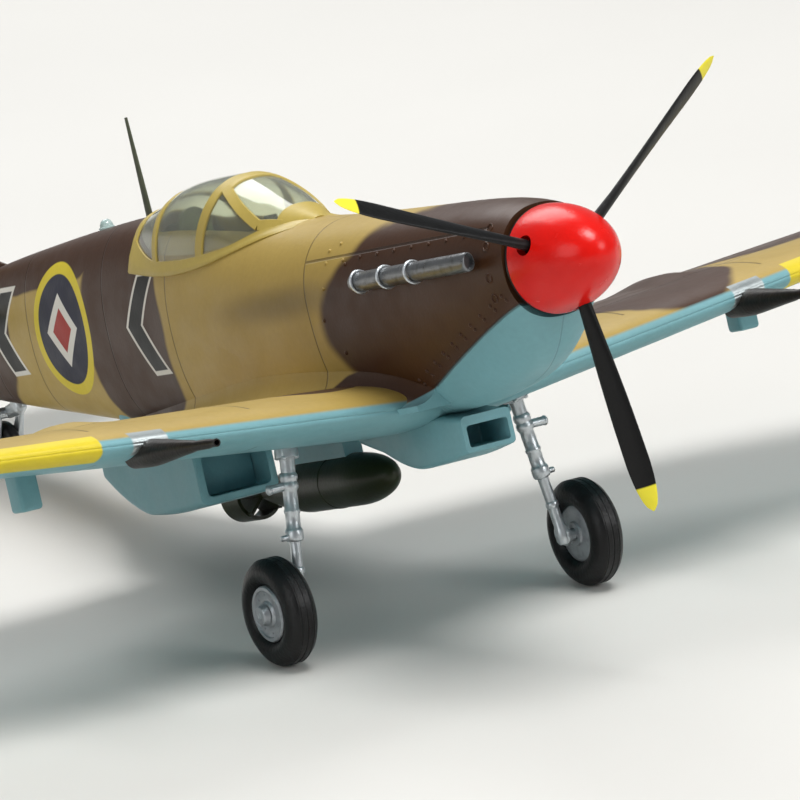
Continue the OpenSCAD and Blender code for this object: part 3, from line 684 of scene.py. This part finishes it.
def bodyHalf(name):
    rows = []
    for i in range(141):
        y = 2.9 + i * (112.2 - 2.9) / 140
        rows.append([bodyPoint(y, 90 - 3 * j) for j in range(61)])
    half = loft(name, rows, wrap=False, caps=False)
    pick(half)
    if half.data.polygons[3000].normal.x < 0:
        half.data.flip_normals()
    applyModifier(half, "SOLIDIFY", thickness=bodyWall, offset=-1, use_even_offset=True)
    deselect()
    bpy.ops.mesh.primitive_cylinder_add(vertices=64, radius=cockpit["radius"], depth=12,
                                        location=(0, 0, 9))
    opening = bake(bpy.context.object)
    stretch = cockpit["rear"] - cockpit["front"]
    for v in opening.data.vertices:
        v.co.y += cockpit["front"] + (stretch if v.co.y > 0 else 0)
    cut(half, opening)
    return joined(name, [half, filletSolid()])


leftHalf = bodyHalf("fuselageLeft")
rightHalf = mirrored(leftHalf, "fuselageRight")
settle(leftHalf, "airframe", finishes["body"], "camouflage", "fuselage_left", angle=50)
settle(rightHalf, "airframe", finishes["body"], "camouflage", "fuselage_right", angle=50)
print("fuselage ready")


# wings: elliptical upper panels and one lower piece right across
def panelSkin(name, side, places, steps=44):  # closed skin, top or bottom, over the given spans
    rows = []
    for x in places:
        us = [(1 - math.cos(math.pi * k / steps)) / 2 for k in range(steps + 1)]
        outer = [wingPoint(abs(x), u, side) for u in us]
        inner = [wingPoint(abs(x), u, side * 0.02) for u in reversed(us)]
        ring = outer + inner[1:-1]
        for k, p in enumerate(ring):
            if x < 0:
                p.x = -p.x
            if side > 0 and k <= steps:
                p.z += gunBulge(abs(p.x), p.y)
        rows.append(ring)
    return loft(name, rows)


def gunBulge(x, y):  # the long teardrop over each gun
    inside = 1 - ((x - wingGun["x"]) / 2.3) ** 2 - ((y - 37.5) / 7) ** 2
    return 0.55 * max(0, inside) ** 1.3


def edgeMap(piece):  # distance behind the leading edge (minus underneath) and from the middle
    layer = piece.data.uv_layers.new(name="edgeMap")
    for face in piece.data.polygons:
        under = face.normal.z < 0
        for loop in face.loop_indices:
            spot = piece.data.vertices[piece.data.loops[loop].vertex_index].co
            x = abs(spot.x)
            front = wing["spar"] - chord(x) / 4
            across = max(0.0, spot.y - front)
            lift = spot.z - wingHeight(x)
            back = math.hypot(across, lift)
            layer.data[loop].uv = (-back if under else back, x)


spans = [3.5 + (wing["tip"] - 3.5) * math.sin(math.pi / 2 * i / 110) for i in range(111)]
wingLeft = panelSkin("wingUpperLeft", 1, spans)
edgeMap(wingLeft)
wingRight = mirrored(wingLeft, "wingUpperRight")
wingUnder = panelSkin("wingLower", -1, [-x for x in reversed(spans)] + spans)
edgeMap(wingUnder)

belly = {"front": 21, "rear": 61, "top": -8.8}
bellyRows = []
for i in range(46):
    y = belly["front"] + i * (belly["rear"] - belly["front"]) / 45
    side = angleAt(y, belly["top"])
    bellyRows.append([bodyPoint(y, side - (side + 90) * j / 20, 0.03) for j in range(21)])
bellyRows = [row + [Vector((-p.x, p.y, p.z)) for p in reversed(row[:-1])] for row in bellyRows]
bellySkin = loft("belly", bellyRows)
bellySkin.data.uv_layers.new(name="edgeMap")
for entry in bellySkin.data.uv_layers["edgeMap"].data:
    entry.uv = (-20, 0)
wingUnder = joined("wingLower", [wingUnder, bellySkin])
settle(wingLeft, "airframe", finishes["wing"], "camouflage", "wing_upper_left", angle=40)
settle(wingRight, "airframe", finishes["wing"], "camouflage", "wing_upper_right", angle=40)
settle(wingUnder, "airframe", finishes["wing"], "underside_blue", "wing_lower", angle=40)
print("wings ready")

# tail: fin and rudder with rounded edges, elliptical tailplanes
fin = {"thick": 1.1, "low": 3, "high": 17.3, "front": 94, "rear": 112.2}
finOutline = [(94, 7.4), (98, 8.5), (102, 10), (105, 12.2), (107.3, 14.7), (109.6, 16.7), (112, 17.5)]
rows = []
for i in range(37):
    z = fin["low"] + (fin["high"] - fin["low"]) * i / 36
    front = fin["front"]
    for (y0, z0), (y1, z1) in zip(finOutline, finOutline[1:]):
        if z > z0:
            front = y0 + (y1 - y0) * min(1, (z - z0) / (z1 - z0))
    ring = []
    for j in range(25):
        a = math.pi * j / 24
        ring.append(Vector((fin["thick"] / 2 * math.cos(a) * (1 - 0.4 * i / 36),
                            front + (fin["rear"] - front) * (1 - math.sin(a)), z)))
    rows.append(ring)
settle(loft("tailFin", rows), "airframe", finishes["body"], "camouflage", "tail_fin", angle=50)

rows = []
for i in range(45):
    x = 1.2 + (tailplane["half"] - 0.15 - 1.2) * math.sin(math.pi / 2 * i / 44)
    half = tailplane["chord"] * math.sqrt(1 - (x / tailplane["half"]) ** 2)
    thick = tailplane["thick"] * (1 - 0.45 * x / tailplane["half"]) * min(1, half / 2)
    ring = []
    for j in range(32):
        a = 2 * math.pi * j / 32
        ring.append(Vector((x, tailplane["centre"] + half * math.cos(a),
                            tailplane["height"] + thick * math.sin(a) * (1 - 0.3 * math.cos(a)))))
    rows.append(ring)
plane = loft("tailplaneLeft", rows)
otherPlane = mirrored(plane, "tailplaneRight")
settle(plane, "airframe", finishes["tailplane"], "underside_blue", "tailplane_left", angle=50)
settle(otherPlane, "airframe", finishes["tailplane"], "underside_blue", "tailplane_right", angle=50)
print("tail ready")

# propeller: pointed spinner with three blade holes, and twisted blades
spinnerSize = {"base": 2.2, "radius": 4.55, "length": 7.8, "wall": 0.8, "hole": 0.85}
bladeAngles = [156.5 - 120 * i for i in range(3)]  # degrees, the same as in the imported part
flip = Matrix.Rotation(math.radians(90), 4, "X")  # Z of a turned shape points ahead


def noseCurve(radius, length, steps=24):
    return [(radius * math.cos(math.pi / 2 * k / steps),
             length * math.sin(math.pi / 2 * k / steps) ** 1.15) for k in range(steps + 1)]


outer = noseCurve(spinnerSize["radius"], spinnerSize["length"])
inner = noseCurve(spinnerSize["radius"] - spinnerSize["wall"], spinnerSize["length"] - 1)
profile = outer + inner[::-1] + [outer[0]]
nose = turned("spinner", profile, Matrix.Translation((0, spinnerSize["base"], 0)) @ flip, 96)
for angle in bladeAngles:
    a = math.radians(angle)
    hole = rod((0, 0, 0), (6 * math.cos(a), 0, 6 * math.sin(a)), spinnerSize["hole"], 0, 48)
    cut(nose, hole)
settle(nose, "propeller", finishes["red"], "spinner_red", "spinner", angle=30)

backplate = turned("backplate", [(0.81, 0), (4.35, 0), (4.5, 0.1), (4.5, 0.48), (0.81, 0.48), (0.81, 0)],
                   Matrix.Translation((0, 2.7, 0)) @ flip, 96)
settle(backplate, "propeller", finishes["black"], "propeller_black", "spinner_backplate")


def bladeRings():
    rings = []
    for i in range(49):
        t = i / 48
        wide = 0.58 + (blade["chord"] / 2 - 0.58) * math.sin(
            math.pi / 2 * min(1, max(0, (t - 0.1) * 1.7)))
        half = wide if t < 0.78 else wide * math.sqrt(max(0.004, 1 - ((t - 0.78) / 0.2205) ** 2))
        thick = 0.44 * (1 - t) + 0.13
        if t > 0.9:
            thick *= math.sqrt(max(0.03, 1 - ((t - 0.9) / 0.101) ** 2))
        pitch = math.radians(70 - 30 * t)
        ring = []
        for j in range(28):
            a = 2 * math.pi * j / 28
            back = min(1, t * 4)  # the section goes from round to flat-bottomed
            c = half * math.cos(a)
            d = thick * math.sin(a) * (1 - 0.35 * back if math.sin(a) < 0 else 1)
            ring.append(Vector((blade["from"] + t * blade["reach"],
                                c * math.cos(pitch) - d * math.sin(pitch),
                                c * math.sin(pitch) + d * math.cos(pitch))))
        rings.append(ring)
    return rings


bladeShape = loft("blade", bladeRings())
for i, angle in enumerate(bladeAngles):
    turn = flip @ Matrix.Rotation(math.radians(angle), 4, "Z")
    one = copyOf(bladeShape, "blade" + str(i + 1), turn)
    settle(one, "propeller", finishes["blade"], "propeller_black",
           "propeller_blade_" + str(i + 1), angle=60)
bpy.data.objects.remove(bladeShape)
print("propeller ready")


# canopy: clear shell with painted frame bars lying on it
canopy = {"glass": 0.3, "bar": 0.14}


def hoodAngle(y, height):
    rise = smooth(hoodStations, y, 2) - canopyBase
    return math.degrees(math.asin(max(0, min(1, (height - canopyBase) / rise)) ** (1 / 0.9)))


rows = [[hoodPoint(39.05 + 26.9 * i / 70, 180 * j / 64) for j in range(65)] for i in range(71)]
glass = loft("canopyGlass", rows, wrap=False, caps=False)
pick(glass)
if glass.data.polygons[2200].normal.z < 0:
    glass.data.flip_normals()
applyModifier(glass, "SOLIDIFY", thickness=canopy["glass"], offset=-1)
settle(glass, "airframe", finishes["clear"], "clear_plastic", "canopy", angle=60)


def hoodBar(path, width):  # a flat bar of this width along (distance aft, angle) points
    points = []
    for (y0, a0), (y1, a1) in zip(path, path[1:]):
        count = max(2, int(abs(a1 - a0) / 5 + abs(y1 - y0) / 0.6))
        points += [(y0 + (y1 - y0) * k / count, a0 + (a1 - a0) * k / count) for k in range(count)]
    points.append(path[-1])
    line = [hoodPoint(y, a) for y, a in points]
    rows = []
    for i, (y, a) in enumerate(points):
        ahead = (line[min(i + 1, len(line) - 1)] - line[max(i - 1, 0)]).normalized()
        out = (hoodPoint(y, a + 1) - hoodPoint(y, a - 1)).cross(
            hoodPoint(min(y + 0.3, 65.9), a) - hoodPoint(max(y - 0.3, 39.05), a)).normalized()
        if out.dot(line[i] - Vector((0, y, canopyBase))) < 0:
            out = -out
        side = ahead.cross(out).normalized()
        ring = []
        for across, up in ((-1, -1.6), (-1, 0.3), (-0.86, 1), (0.86, 1), (1, 0.3), (1, -1.6)):
            ring.append(line[i] + side * across * width / 2 + out * up * canopy["bar"])
        rows.append(ring)
    return loft("bar", rows)


archPath = [(52.2, 0), (51.9, 12), (51.2, 28), (50.3, 48), (49.7, 68), (49.5, 90)]
archPath += [(y, 180 - a) for y, a in reversed(archPath[:-1])]
rearPath = [(60.4, 2), (60.3, 30), (60.1, 60), (60, 90)]
rearPath += [(y, 180 - a) for y, a in reversed(rearPath[:-1])]
rimPath = [(65.5, 2), (65.5, 45), (65.5, 90), (65.5, 135), (65.5, 178)]
bars = [hoodBar(archPath, 1.25), hoodBar(rearPath, 0.9), hoodBar(rimPath, 0.9)]
bars.append(hoodBar([(48.9, 62), (48.9, 118)], 0.9))
rows = [[hoodPoint(39.05 + 3 * i / 12, 180 * j / 48, canopy["bar"]) for j in range(49)]
        for i in range(13)]
apron = loft("apron", rows, wrap=False, caps=False)
pick(apron)
if apron.data.polygons[312].normal.z < 0:
    apron.data.flip_normals()
applyModifier(apron, "SOLIDIFY", thickness=0.4, offset=-1)
bars.append(apron)
for mirror in (False, True):
    for path, width in (([(49.2, 64), (47.4, 54), (45.6, 44), (43.8, 34)], 1.0),
                        ([(41.6, 40), (42.6, 38), (43.8, 34)], 1.0)):
        bars.append(hoodBar([(y, 180 - a if mirror else a) for y, a in path], width))
# the canopy sill: lower edge as distance aft and height
sillLine = [(38.6, 6.7), (42.3, 6.2), (46.1, 5.6), (50.9, 4.9), (56.4, 4.6), (60.8, 4.8), (65.8, 5.4)]


def meeting(y):  # where the hood comes out of the body, as a height
    low, high = canopyBase + 0.3, smooth(hoodStations, y, 2) - 0.1
    for _ in range(40):
        half = (low + high) / 2
        inside = hoodPoint(y, hoodAngle(y, half)).x < bodyPoint(y, angleAt(y, half)).x
        if inside and half < smooth(stations, y, 2) - 0.1:
            low = half
        else:
            high = half
    return high


for mirror in (False, True):
    rows = []
    for i in range(55):
        y = 39.4 + 26.4 * i / 54
        low, high = smooth(sillLine, y, 1), meeting(y)
        high = max(high, low + 0.3)
        thick = 0.2 * min(1, (y - 38.9) / 4)
        ring = [bodyPoint(y, angleAt(y, low), -0.3), bodyPoint(y, angleAt(y, low), thick * 0.6),
                bodyPoint(y, angleAt(y, low + 0.12), thick),
                bodyPoint(y, angleAt(y, (low + high) / 2), thick),
                hoodPoint(y, hoodAngle(y, high + 0.1), thick),
                hoodPoint(y, hoodAngle(y, high + 0.35), thick * 0.8),
                hoodPoint(y, hoodAngle(y, high + 0.4), 0.02),
                hoodPoint(y, hoodAngle(y, high + 0.1), -0.4)]
        if mirror:
            for p in ring:
                p.x = -p.x
        rows.append(ring)
    bars.append(loft("sill", rows))
frameBars = joined("canopyFrame", bars)
settle(frameBars, "airframe", finishes["stone"], "camouflage", angle=40)
print("canopy ready")

# exhausts: a tube with a flattened mouth at the front and three bright wire rings
exhaust = {"start": (5.95, 5.7, 1.3), "yaw": 1.6, "length": 18.4, "stubs": (7.2, 11.6, 16),
           "rings": (8.9, 13.3, 17.6), "ringRadius": 0.92, "ringThick": 0.13}
tube = turned("exhaustTube", [(0, 0.5), (0.56, 0.5), (0.62, 0.1), (0.7, 0), (0.8, 0.12),
                              (0.82, 0.5), (0.82, 18.1), (0.74, 18.4), (0.6, 18.4), (0.55, 18),
                              (0, 18)], None, 40)
for v in tube.data.vertices:
    v.co.x *= 1 - 0.3 * max(0, 1 - v.co.z / 3)
yaw = math.radians(exhaust["yaw"])
exhaustPlace = aimed(exhaust["start"], Vector(exhaust["start"]) + exhaust["length"] * Vector(
    (math.sin(yaw), math.cos(yaw), 0)))
tube.data.transform(exhaustPlace)
stubs = []
for z in exhaust["stubs"]:
    stub = ball((0, 0, 0), 0.75, (0.9, 0.6, 1.5), 10)
    stub.data.transform(Matrix.Translation((-0.55, 0, 0)) @ exhaustPlace @ Matrix.Translation((0, 0, z)))
    stubs.append(stub)
ringParts = []
for z in exhaust["rings"]:
    deselect()
    bpy.ops.mesh.primitive_torus_add(
        major_radius=exhaust["ringRadius"], minor_radius=exhaust["ringThick"],
        major_segments=40, minor_segments=10, location=(0, 0, 0))
    band = bpy.context.object
    band.data.transform(exhaustPlace @ Matrix.Translation((0, 0, z)) @ Matrix.Rotation(0.12, 4, "X"))
    ringParts.append(band)
bandsLeft = joined("exhaustBandsLeft", ringParts)
exhaustLeft = joined("exhaustLeft", [tube] + stubs)
exhaustRight = mirrored(exhaustLeft, "exhaustRight")
bandsRight = mirrored(bandsLeft, "exhaustBandsRight")
settle(exhaustLeft, "airframe", finishes["exhaust"], "exhaust_metal", "exhaust_left")
settle(exhaustRight, "airframe", finishes["exhaust"], "exhaust_metal", "exhaust_right")
settle(bandsLeft, "airframe", finishes["silver"], "exhaust_metal", angle=60)
settle(bandsRight, "airframe", finishes["silver"], "exhaust_metal", angle=60)

# guns: a fat fairing out of the leading edge, a long taper and a thin drilled barrel
gunHeight = wingHeight(wingGun["x"]) - 0.9
gunLeft = turned("cannonLeft", [(0, -1), (1.1, -1), (1.15, 1.2), (1.15, 2.2), (1.08, 3.2), (0.9, 5),
                                (0.68, 7.2), (0.5, 9.2), (0.43, 9.5), (0.4, 12), (0.34, 12.3),
                                (0.34, 13.2), (0.24, 13.2), (0.2, 13), (0.18, 11.8), (0, 11.8)],
                 Matrix.Translation((wingGun["x"], 24.4, gunHeight)) @ flip, 48)
gunRight = mirrored(gunLeft, "cannonRight")
settle(gunLeft, "airframe", finishes["bronze"], "gun_bronze", "cannon_left")
settle(gunRight, "airframe", finishes["bronze"], "gun_bronze", "cannon_right")
print("exhausts and guns ready")

# undercarriage: collared legs, grooved tyres, dished hub discs
gear = {"top": (11.2, 33.4, -10.6), "foot": (13.05, 33.6, -24.1)}
legLength = (Vector(gear["foot"]) - Vector(gear["top"])).length
legProfile = [(0, 0), (0.95, 0), (0.98, 0.5), (1.02, 0.9), (1.0, 1.2), (0.66, 1.35), (0.62, 1.7),
              (0.62, 2.5), (0.7, 2.6), (0.76, 2.75), (0.76, 3.05), (0.68, 3.2), (0.68, 3.3),
              (0.76, 3.45), (0.76, 3.8), (0.66, 3.95), (0.62, 4.1), (0.62, 5.55), (0.69, 5.65),
              (0.69, 5.85), (0.62, 5.95), (0.62, 7.1), (0.72, 7.25), (0.78, 7.4), (0.78, 8.0),
              (0.7, 8.2), (0.5, 8.3), (0.48, 8.6), (0.48, 10.4), (0.56, 10.5), (0.58, 10.7),
              (0.56, 10.9), (0.48, 11.0), (0.48, 12.6), (0.6, 12.9), (0.66, 13.3), (0.66, 13.9),
              (0.5, 14.2), (0, 14.2)]
legPlace = aimed(gear["top"], gear["foot"])
legParts = [turned("leg", legProfile, legPlace, 40)]
for depth, reach, radius in ((3.55, 2.0, 0.38), (7.8, 1.3, 0.25)):
    middle = Vector(gear["top"]).lerp(Vector(gear["foot"]), depth / legLength)
    legParts.append(rod(middle, middle + Vector((reach, 0, 0)), radius, 0.1))
    if radius > 0.3:
        legParts.append(ball(middle + Vector((reach, 0, 0)), 0.44, (0.6, 1, 1), 10))
for turnBy in (40, 140, 220, 320):
    a = math.radians(turnBy)
    lug = ball((0.9 * math.cos(a), 0.9 * math.sin(a), 1.2), 0.24, (1, 1, 0.8), 8)
    lug.data.transform(legPlace)
    legParts.append(lug)
foot = Vector(gear["foot"])
legParts += [rod(foot, foot + Vector((4.05, 0, 0)), 0.49, 0.08),
             rod(foot, foot + Vector((0.45, 0, 0)), 0.8, 0.1)]
gearLeft = joined("gearLegLeft", legParts)
gearRight = mirrored(gearLeft, "gearLegRight")
settle(gearLeft, "airframe", finishes["silver"], "silver_paint", "gear_leg_left")
settle(gearRight, "airframe", finishes["silver"], "silver_paint", "gear_leg_right")

wheel = {"x": 15.2, "y": 33.6, "z": -24.1, "width": 2.9}
half = wheel["width"] / 2
tyreProfile = [(2.42, -0.9), (2.62, -1.18), (2.95, -1.38), (3.4, -half), (3.9, -1.32), (4.3, -1.05),
               (4.5, -0.78)]
for groove in (-0.55, 0, 0.55):
    tyreProfile += [(4.585, groove - 0.08), (4.53, groove - 0.04), (4.53, groove + 0.04),
                    (4.585, groove + 0.08)]
tyreProfile += [(4.5, 0.78), (4.3, 1.05), (3.9, 1.32), (3.4, half), (2.95, 1.38), (2.62, 1.18),
                (2.42, 0.9), (2.42, -0.9)]
axle = aimed((wheel["x"], wheel["y"], wheel["z"]), (wheel["x"] + 1, wheel["y"], wheel["z"]))
tyreLeft = turned("mainTyreLeft", tyreProfile, axle, 96)
discProfile = [(0.56, -1.15), (1.0, -1.15), (1.1, -0.95), (2.2, -0.95), (2.41, -0.85), (2.41, 1.12),
               (2.3, 1.28), (2.05, 1.3), (1.95, 1.16), (1.5, 1.02), (1.15, 1.06), (1.05, 1.22),
               (0.92, 1.3), (0.56, 1.3), (0.56, -1.15)]
discLeft = turned("mainWheelLeft", discProfile, axle, 72)
bolts = []
for k in range(8):
    a = 2 * math.pi * k / 8
    bolt = ball((1.72 * math.cos(a), 1.72 * math.sin(a), 1.08), 0.13, (1, 1, 0.6), 6)
    bolt.data.transform(axle)
    bolts.append(bolt)
discLeft = joined("mainWheelLeft", [discLeft] + bolts)
capProfile = [(0.51, 1.36), (0.92, 1.36), (0.95, 1.42), (0.78, 1.9), (0.7, 1.96), (0.3, 1.96),
              (0.22, 1.88), (0, 1.88), (0, 1.6), (0.51, 1.6), (0.51, 1.36)]
capLeft = turned("axleCapLeft", capProfile, axle, 48)
for piece, name, finish, slotName, node, body in (
        (tyreLeft, "mainTyreRight", "rubber", "tyre_black", "main_tyre_", "wheel_"),
        (discLeft, "mainWheelRight", "hubMetal", "wheel_grey", "main_wheel_", "wheel_"),
        (capLeft, "axleCapRight", "hubMetal", "wheel_grey", "axle_cap_", "airframe")):
    other = mirrored(piece, name)
    for one, hand in ((piece, "left"), (other, "right")):
        settle(one, body + hand if body == "wheel_" else body, finishes[finish], slotName, node + hand,
               angle=30)
print("undercarriage ready")


# belly store, radiator, oil cooler, intake and lamps with rounded edges
storeSize = {"nose": (0, 36.4, -15.5), "radius": 2.25, "round": 6, "band": 9.4, "tail": 14.5,
             "tailLength": 8, "taper": 0.72}
wide, band = storeSize["radius"], storeSize["band"]
storeProfile = [(0, 0)]
storeProfile += [(wide * math.sin(math.radians(a)), storeSize["round"] * (1 - math.cos(math.radians(a))))
                 for a in range(5, 90, 5)]
storeProfile += [(wide, storeSize["round"]), (wide, band), (wide + 0.04, band + 0.05),
                 (wide + 0.04, band + 0.3), (wide, band + 0.35), (wide, storeSize["tail"])]
storeProfile += [(wide * (1 - storeSize["taper"] * (k / 12) ** 1.4),
                  storeSize["tail"] + storeSize["tailLength"] * k / 12) for k in range(1, 13)]
storeProfile += [(0, storeSize["tail"] + storeSize["tailLength"])]
storePlace = aimed(storeSize["nose"], Vector(storeSize["nose"]) + Vector((0, 1, 0)))
store = turned("storeBody", storeProfile, storePlace, 64)
settle(store, "airframe", finishes["olive"], "store_olive", "store_body")


def duct(name, sections, corner=0.5):  # a rounded box through (aft, left, right, low, high)
    rows = []
    for y, left, right, low, high in sections:
        r = min(corner, (right - left) / 2.2, (high - low) / 2.2)
        ring = []
        for x, z, start in ((right - r, high - r, 0), (left + r, high - r, 90),
                            (left + r, low + r, 180), (right - r, low + r, 270)):
            for k in range(7):
                a = math.radians(start + 15 * k)
                ring.append(Vector((x + r * math.cos(a), y, z + r * math.sin(a))))
        rows.append(ring)
    return loft(name, rows)


radiatorSize = {"front": 40, "length": 17.2, "outer": -16.6, "inner": -9, "top": -9, "low": -14.4,
                "belly": 0.35, "upsweep": 3.2, "mouth": ((-15.9, 38, -13.8), (-9.7, 44.6, -10.2))}
radiatorRows = []
for i in range(25):
    t = i / 24
    y = radiatorSize["front"] + radiatorSize["length"] * t
    low = (radiatorSize["low"] - radiatorSize["belly"] * math.sin(math.pi * min(1, t * 1.35))
           + radiatorSize["upsweep"] * max(0, (t - 0.62) / 0.38) ** 1.6)
    radiatorRows.append((y, radiatorSize["outer"] + 0.6 * t, radiatorSize["inner"] - 0.6 * t, low,
                         radiatorSize["top"]))
radiatorRows.insert(0, (39.85, -16.45, -9.15, -14.25, -9.1))
radiator = duct("radiatorHousing", radiatorRows, 0.7)
cut(radiator, block(*radiatorSize["mouth"], 0.5, 4))
settle(radiator, "airframe", finishes["blue"], "underside_blue", "radiator_housing", angle=40)
matrix = block((-15.85, 42.4, -13.75), (-9.75, 43.8, -10.25), 0.1, 2)
matrix.name = "radiatorMatrix"
settle(matrix, "airframe", finishes["matrix"], "matrix_grey", "radiator_matrix", angle=40)

intakeSize = {"front": 19.35, "length": 19.9, "half": 2.5, "low": -14.6, "top": -11.6,
              "mouth": ((-2, 17, -14.15), (2, 24, -12.3))}
intakeRows = [(19.2, -2.4, 2.4, -14.5, -11.5)]
for i in range(29):
    t = i / 28
    y = intakeSize["front"] + intakeSize["length"] * t
    half = (intakeSize["half"] + 0.2 * math.sin(math.pi * min(1, t * 1.4))
            - 1.5 * max(0, (t - 0.35) / 0.65) ** 1.4)
    low = (intakeSize["low"] - 0.7 * math.sin(math.pi * min(1, t * 1.3))
           + 2 * max(0, (t - 0.4) / 0.6) ** 1.3)
    intakeRows.append((y, -half, half, low, intakeSize["top"] + 0.9 * min(1, t * 3)))
intake = duct("carburettorIntake", intakeRows, 0.45)
cut(intake, block(*intakeSize["mouth"], 0.25))
settle(intake, "airframe", finishes["blue"], "underside_blue", "carburettor_intake", angle=40)

coolerSize = {"front": (12.8, 40, -11.6), "rear": (12.8, 55, -11.1), "radius": 2.3, "tip": 1.2,
              "bore": ((12.8, 38, -11.7), (12.8, 44, -11.6)), "boreRadius": 1.7}
cooler = rod(coolerSize["front"], coolerSize["rear"], coolerSize["radius"], 0.3, 48, coolerSize["tip"])
cut(cooler, rod(*coolerSize["bore"], coolerSize["boreRadius"], 0, 48))
cooler.name = "oilCooler"
settle(cooler, "airframe", finishes["blue"], "underside_blue", "oil_cooler", angle=40)

lampSize = {"low": (34.6, 33.4, -10.9), "high": (36.6, 35.6, -7.4), "bevel": 0.32}
lampLeft = block(lampSize["low"], lampSize["high"], lampSize["bevel"], 5)
lampLeft.name = "landingLampLeft"
lampRight = mirrored(lampLeft, "landingLampRight")
settle(lampLeft, "airframe", finishes["blue"], "underside_blue", "landing_lamp_left")
settle(lampRight, "airframe", finishes["blue"], "underside_blue", "landing_lamp_right")

mastSize = {"foot": (0, 68.4, 8.2), "top": (0, 68.7, 18.6), "radius": 0.5, "tip": 0.2, "flatten": 0.55}
mast = rod(mastSize["foot"], mastSize["top"], mastSize["radius"], 0.05, 32, mastSize["tip"])
for v in mast.data.vertices:
    v.co.x *= mastSize["flatten"]
mast.name = "aerialMast"
settle(mast, "airframe", finishes["mast"], "mast_green", "aerial_mast")
dome = turned("spineLight", [(0, 0), (0.72, 0), (0.72, 0.15), (0.6, 0.25), (0.58, 0.45), (0.44, 0.72),
                             (0.22, 0.87), (0, 0.9)],
              Matrix.Translation((0, 76.6, smooth(stations, 76.6, 2) - 0.05)), 40)
settle(dome, "airframe", finishes["lamp"], "lamp_clear", "spine_light")
print("fittings ready")

# raised fasteners round the cowling
rivet = {"radius": 0.19, "height": 0.13}
dot = turned("rivet", [(rivet["radius"], -0.05), (rivet["radius"] * 0.95, 0.03),
                       (rivet["radius"] * 0.6, rivet["height"] * 0.8), (0, rivet["height"])], None, 10)
ringDot = turned("ring", [(0.42, -0.05), (0.42, 0.04), (0.36, 0.09), (0.28, 0.04), (0.28, -0.05)],
                 None, 20)


def onBody(shape, y, height, hand):
    angle = angleAt(y, height)
    spot, out = bodyPoint(y, angle), bodyNormal(y, angle)
    if out.dot(spot - Vector((0, y, 0))) < 0:
        out = -out
    if hand < 0:
        spot.x, out.x = -spot.x, -out.x
    turn = out.to_track_quat("Z", "Y").to_matrix().to_4x4()
    return copyOf(shape, "dot", Matrix.Translation(spot) @ turn)


dots = []
for hand in (1, -1):
    for k in range(10):
        y = 2.9 + 1.85 * k
        dots.append(onBody(dot, y + 0.9, -2.5 - 7 * (y - 1.5) / 20.5 + 0.55, hand))
        dots.append(onBody(dot, y + 1.3, -2.5 - 7 * (y - 1.5) / 20.5 + 0.95, hand))
    for k in range(9):
        dots.append(onBody(dot, 8.5 + 2.7 * k, 3.25, hand))
    for y, height in ((30, 4.2), (30.5, 1.2), (31.4, -1.4), (28.5, 4.6), (27, 2.9), (29.6, -4.4),
                      (27.6, -6.6), (24.6, -7.4), (22, -8.2)):
        dots.append(onBody(dot, y, height, hand))
    for height in (3.6, 2.2, -0.4, -2.1):
        dots.append(onBody(ringDot, 5.1, height, hand))
fasteners = joined("cowlFasteners", dots)
bpy.data.objects.remove(dot)
bpy.data.objects.remove(ringDot)
settle(fasteners, "airframe", finishes["body"], "camouflage", angle=60)
print("fasteners ready")

deselect()
bpy.ops.mesh.primitive_plane_add(size=6, location=(0, 0, 0))
floor = bpy.context.object
floor.name = "floor"
floorMaterial, tree, shader, spot = newMaterial("paleStudioFloor")
cloudy = addNode(tree, "TexNoise", {"Vector": spot, "Scale": 1 / 60, "Detail": 3})
tree.links.new(paintOver(tree, "#cfcdc8", [(cloudy, "#d8d6d1")]), shader.inputs["Base Color"])
shader.inputs["Roughness"].default_value = 0.6
floor.data.materials.append(floorMaterial)

print("done")
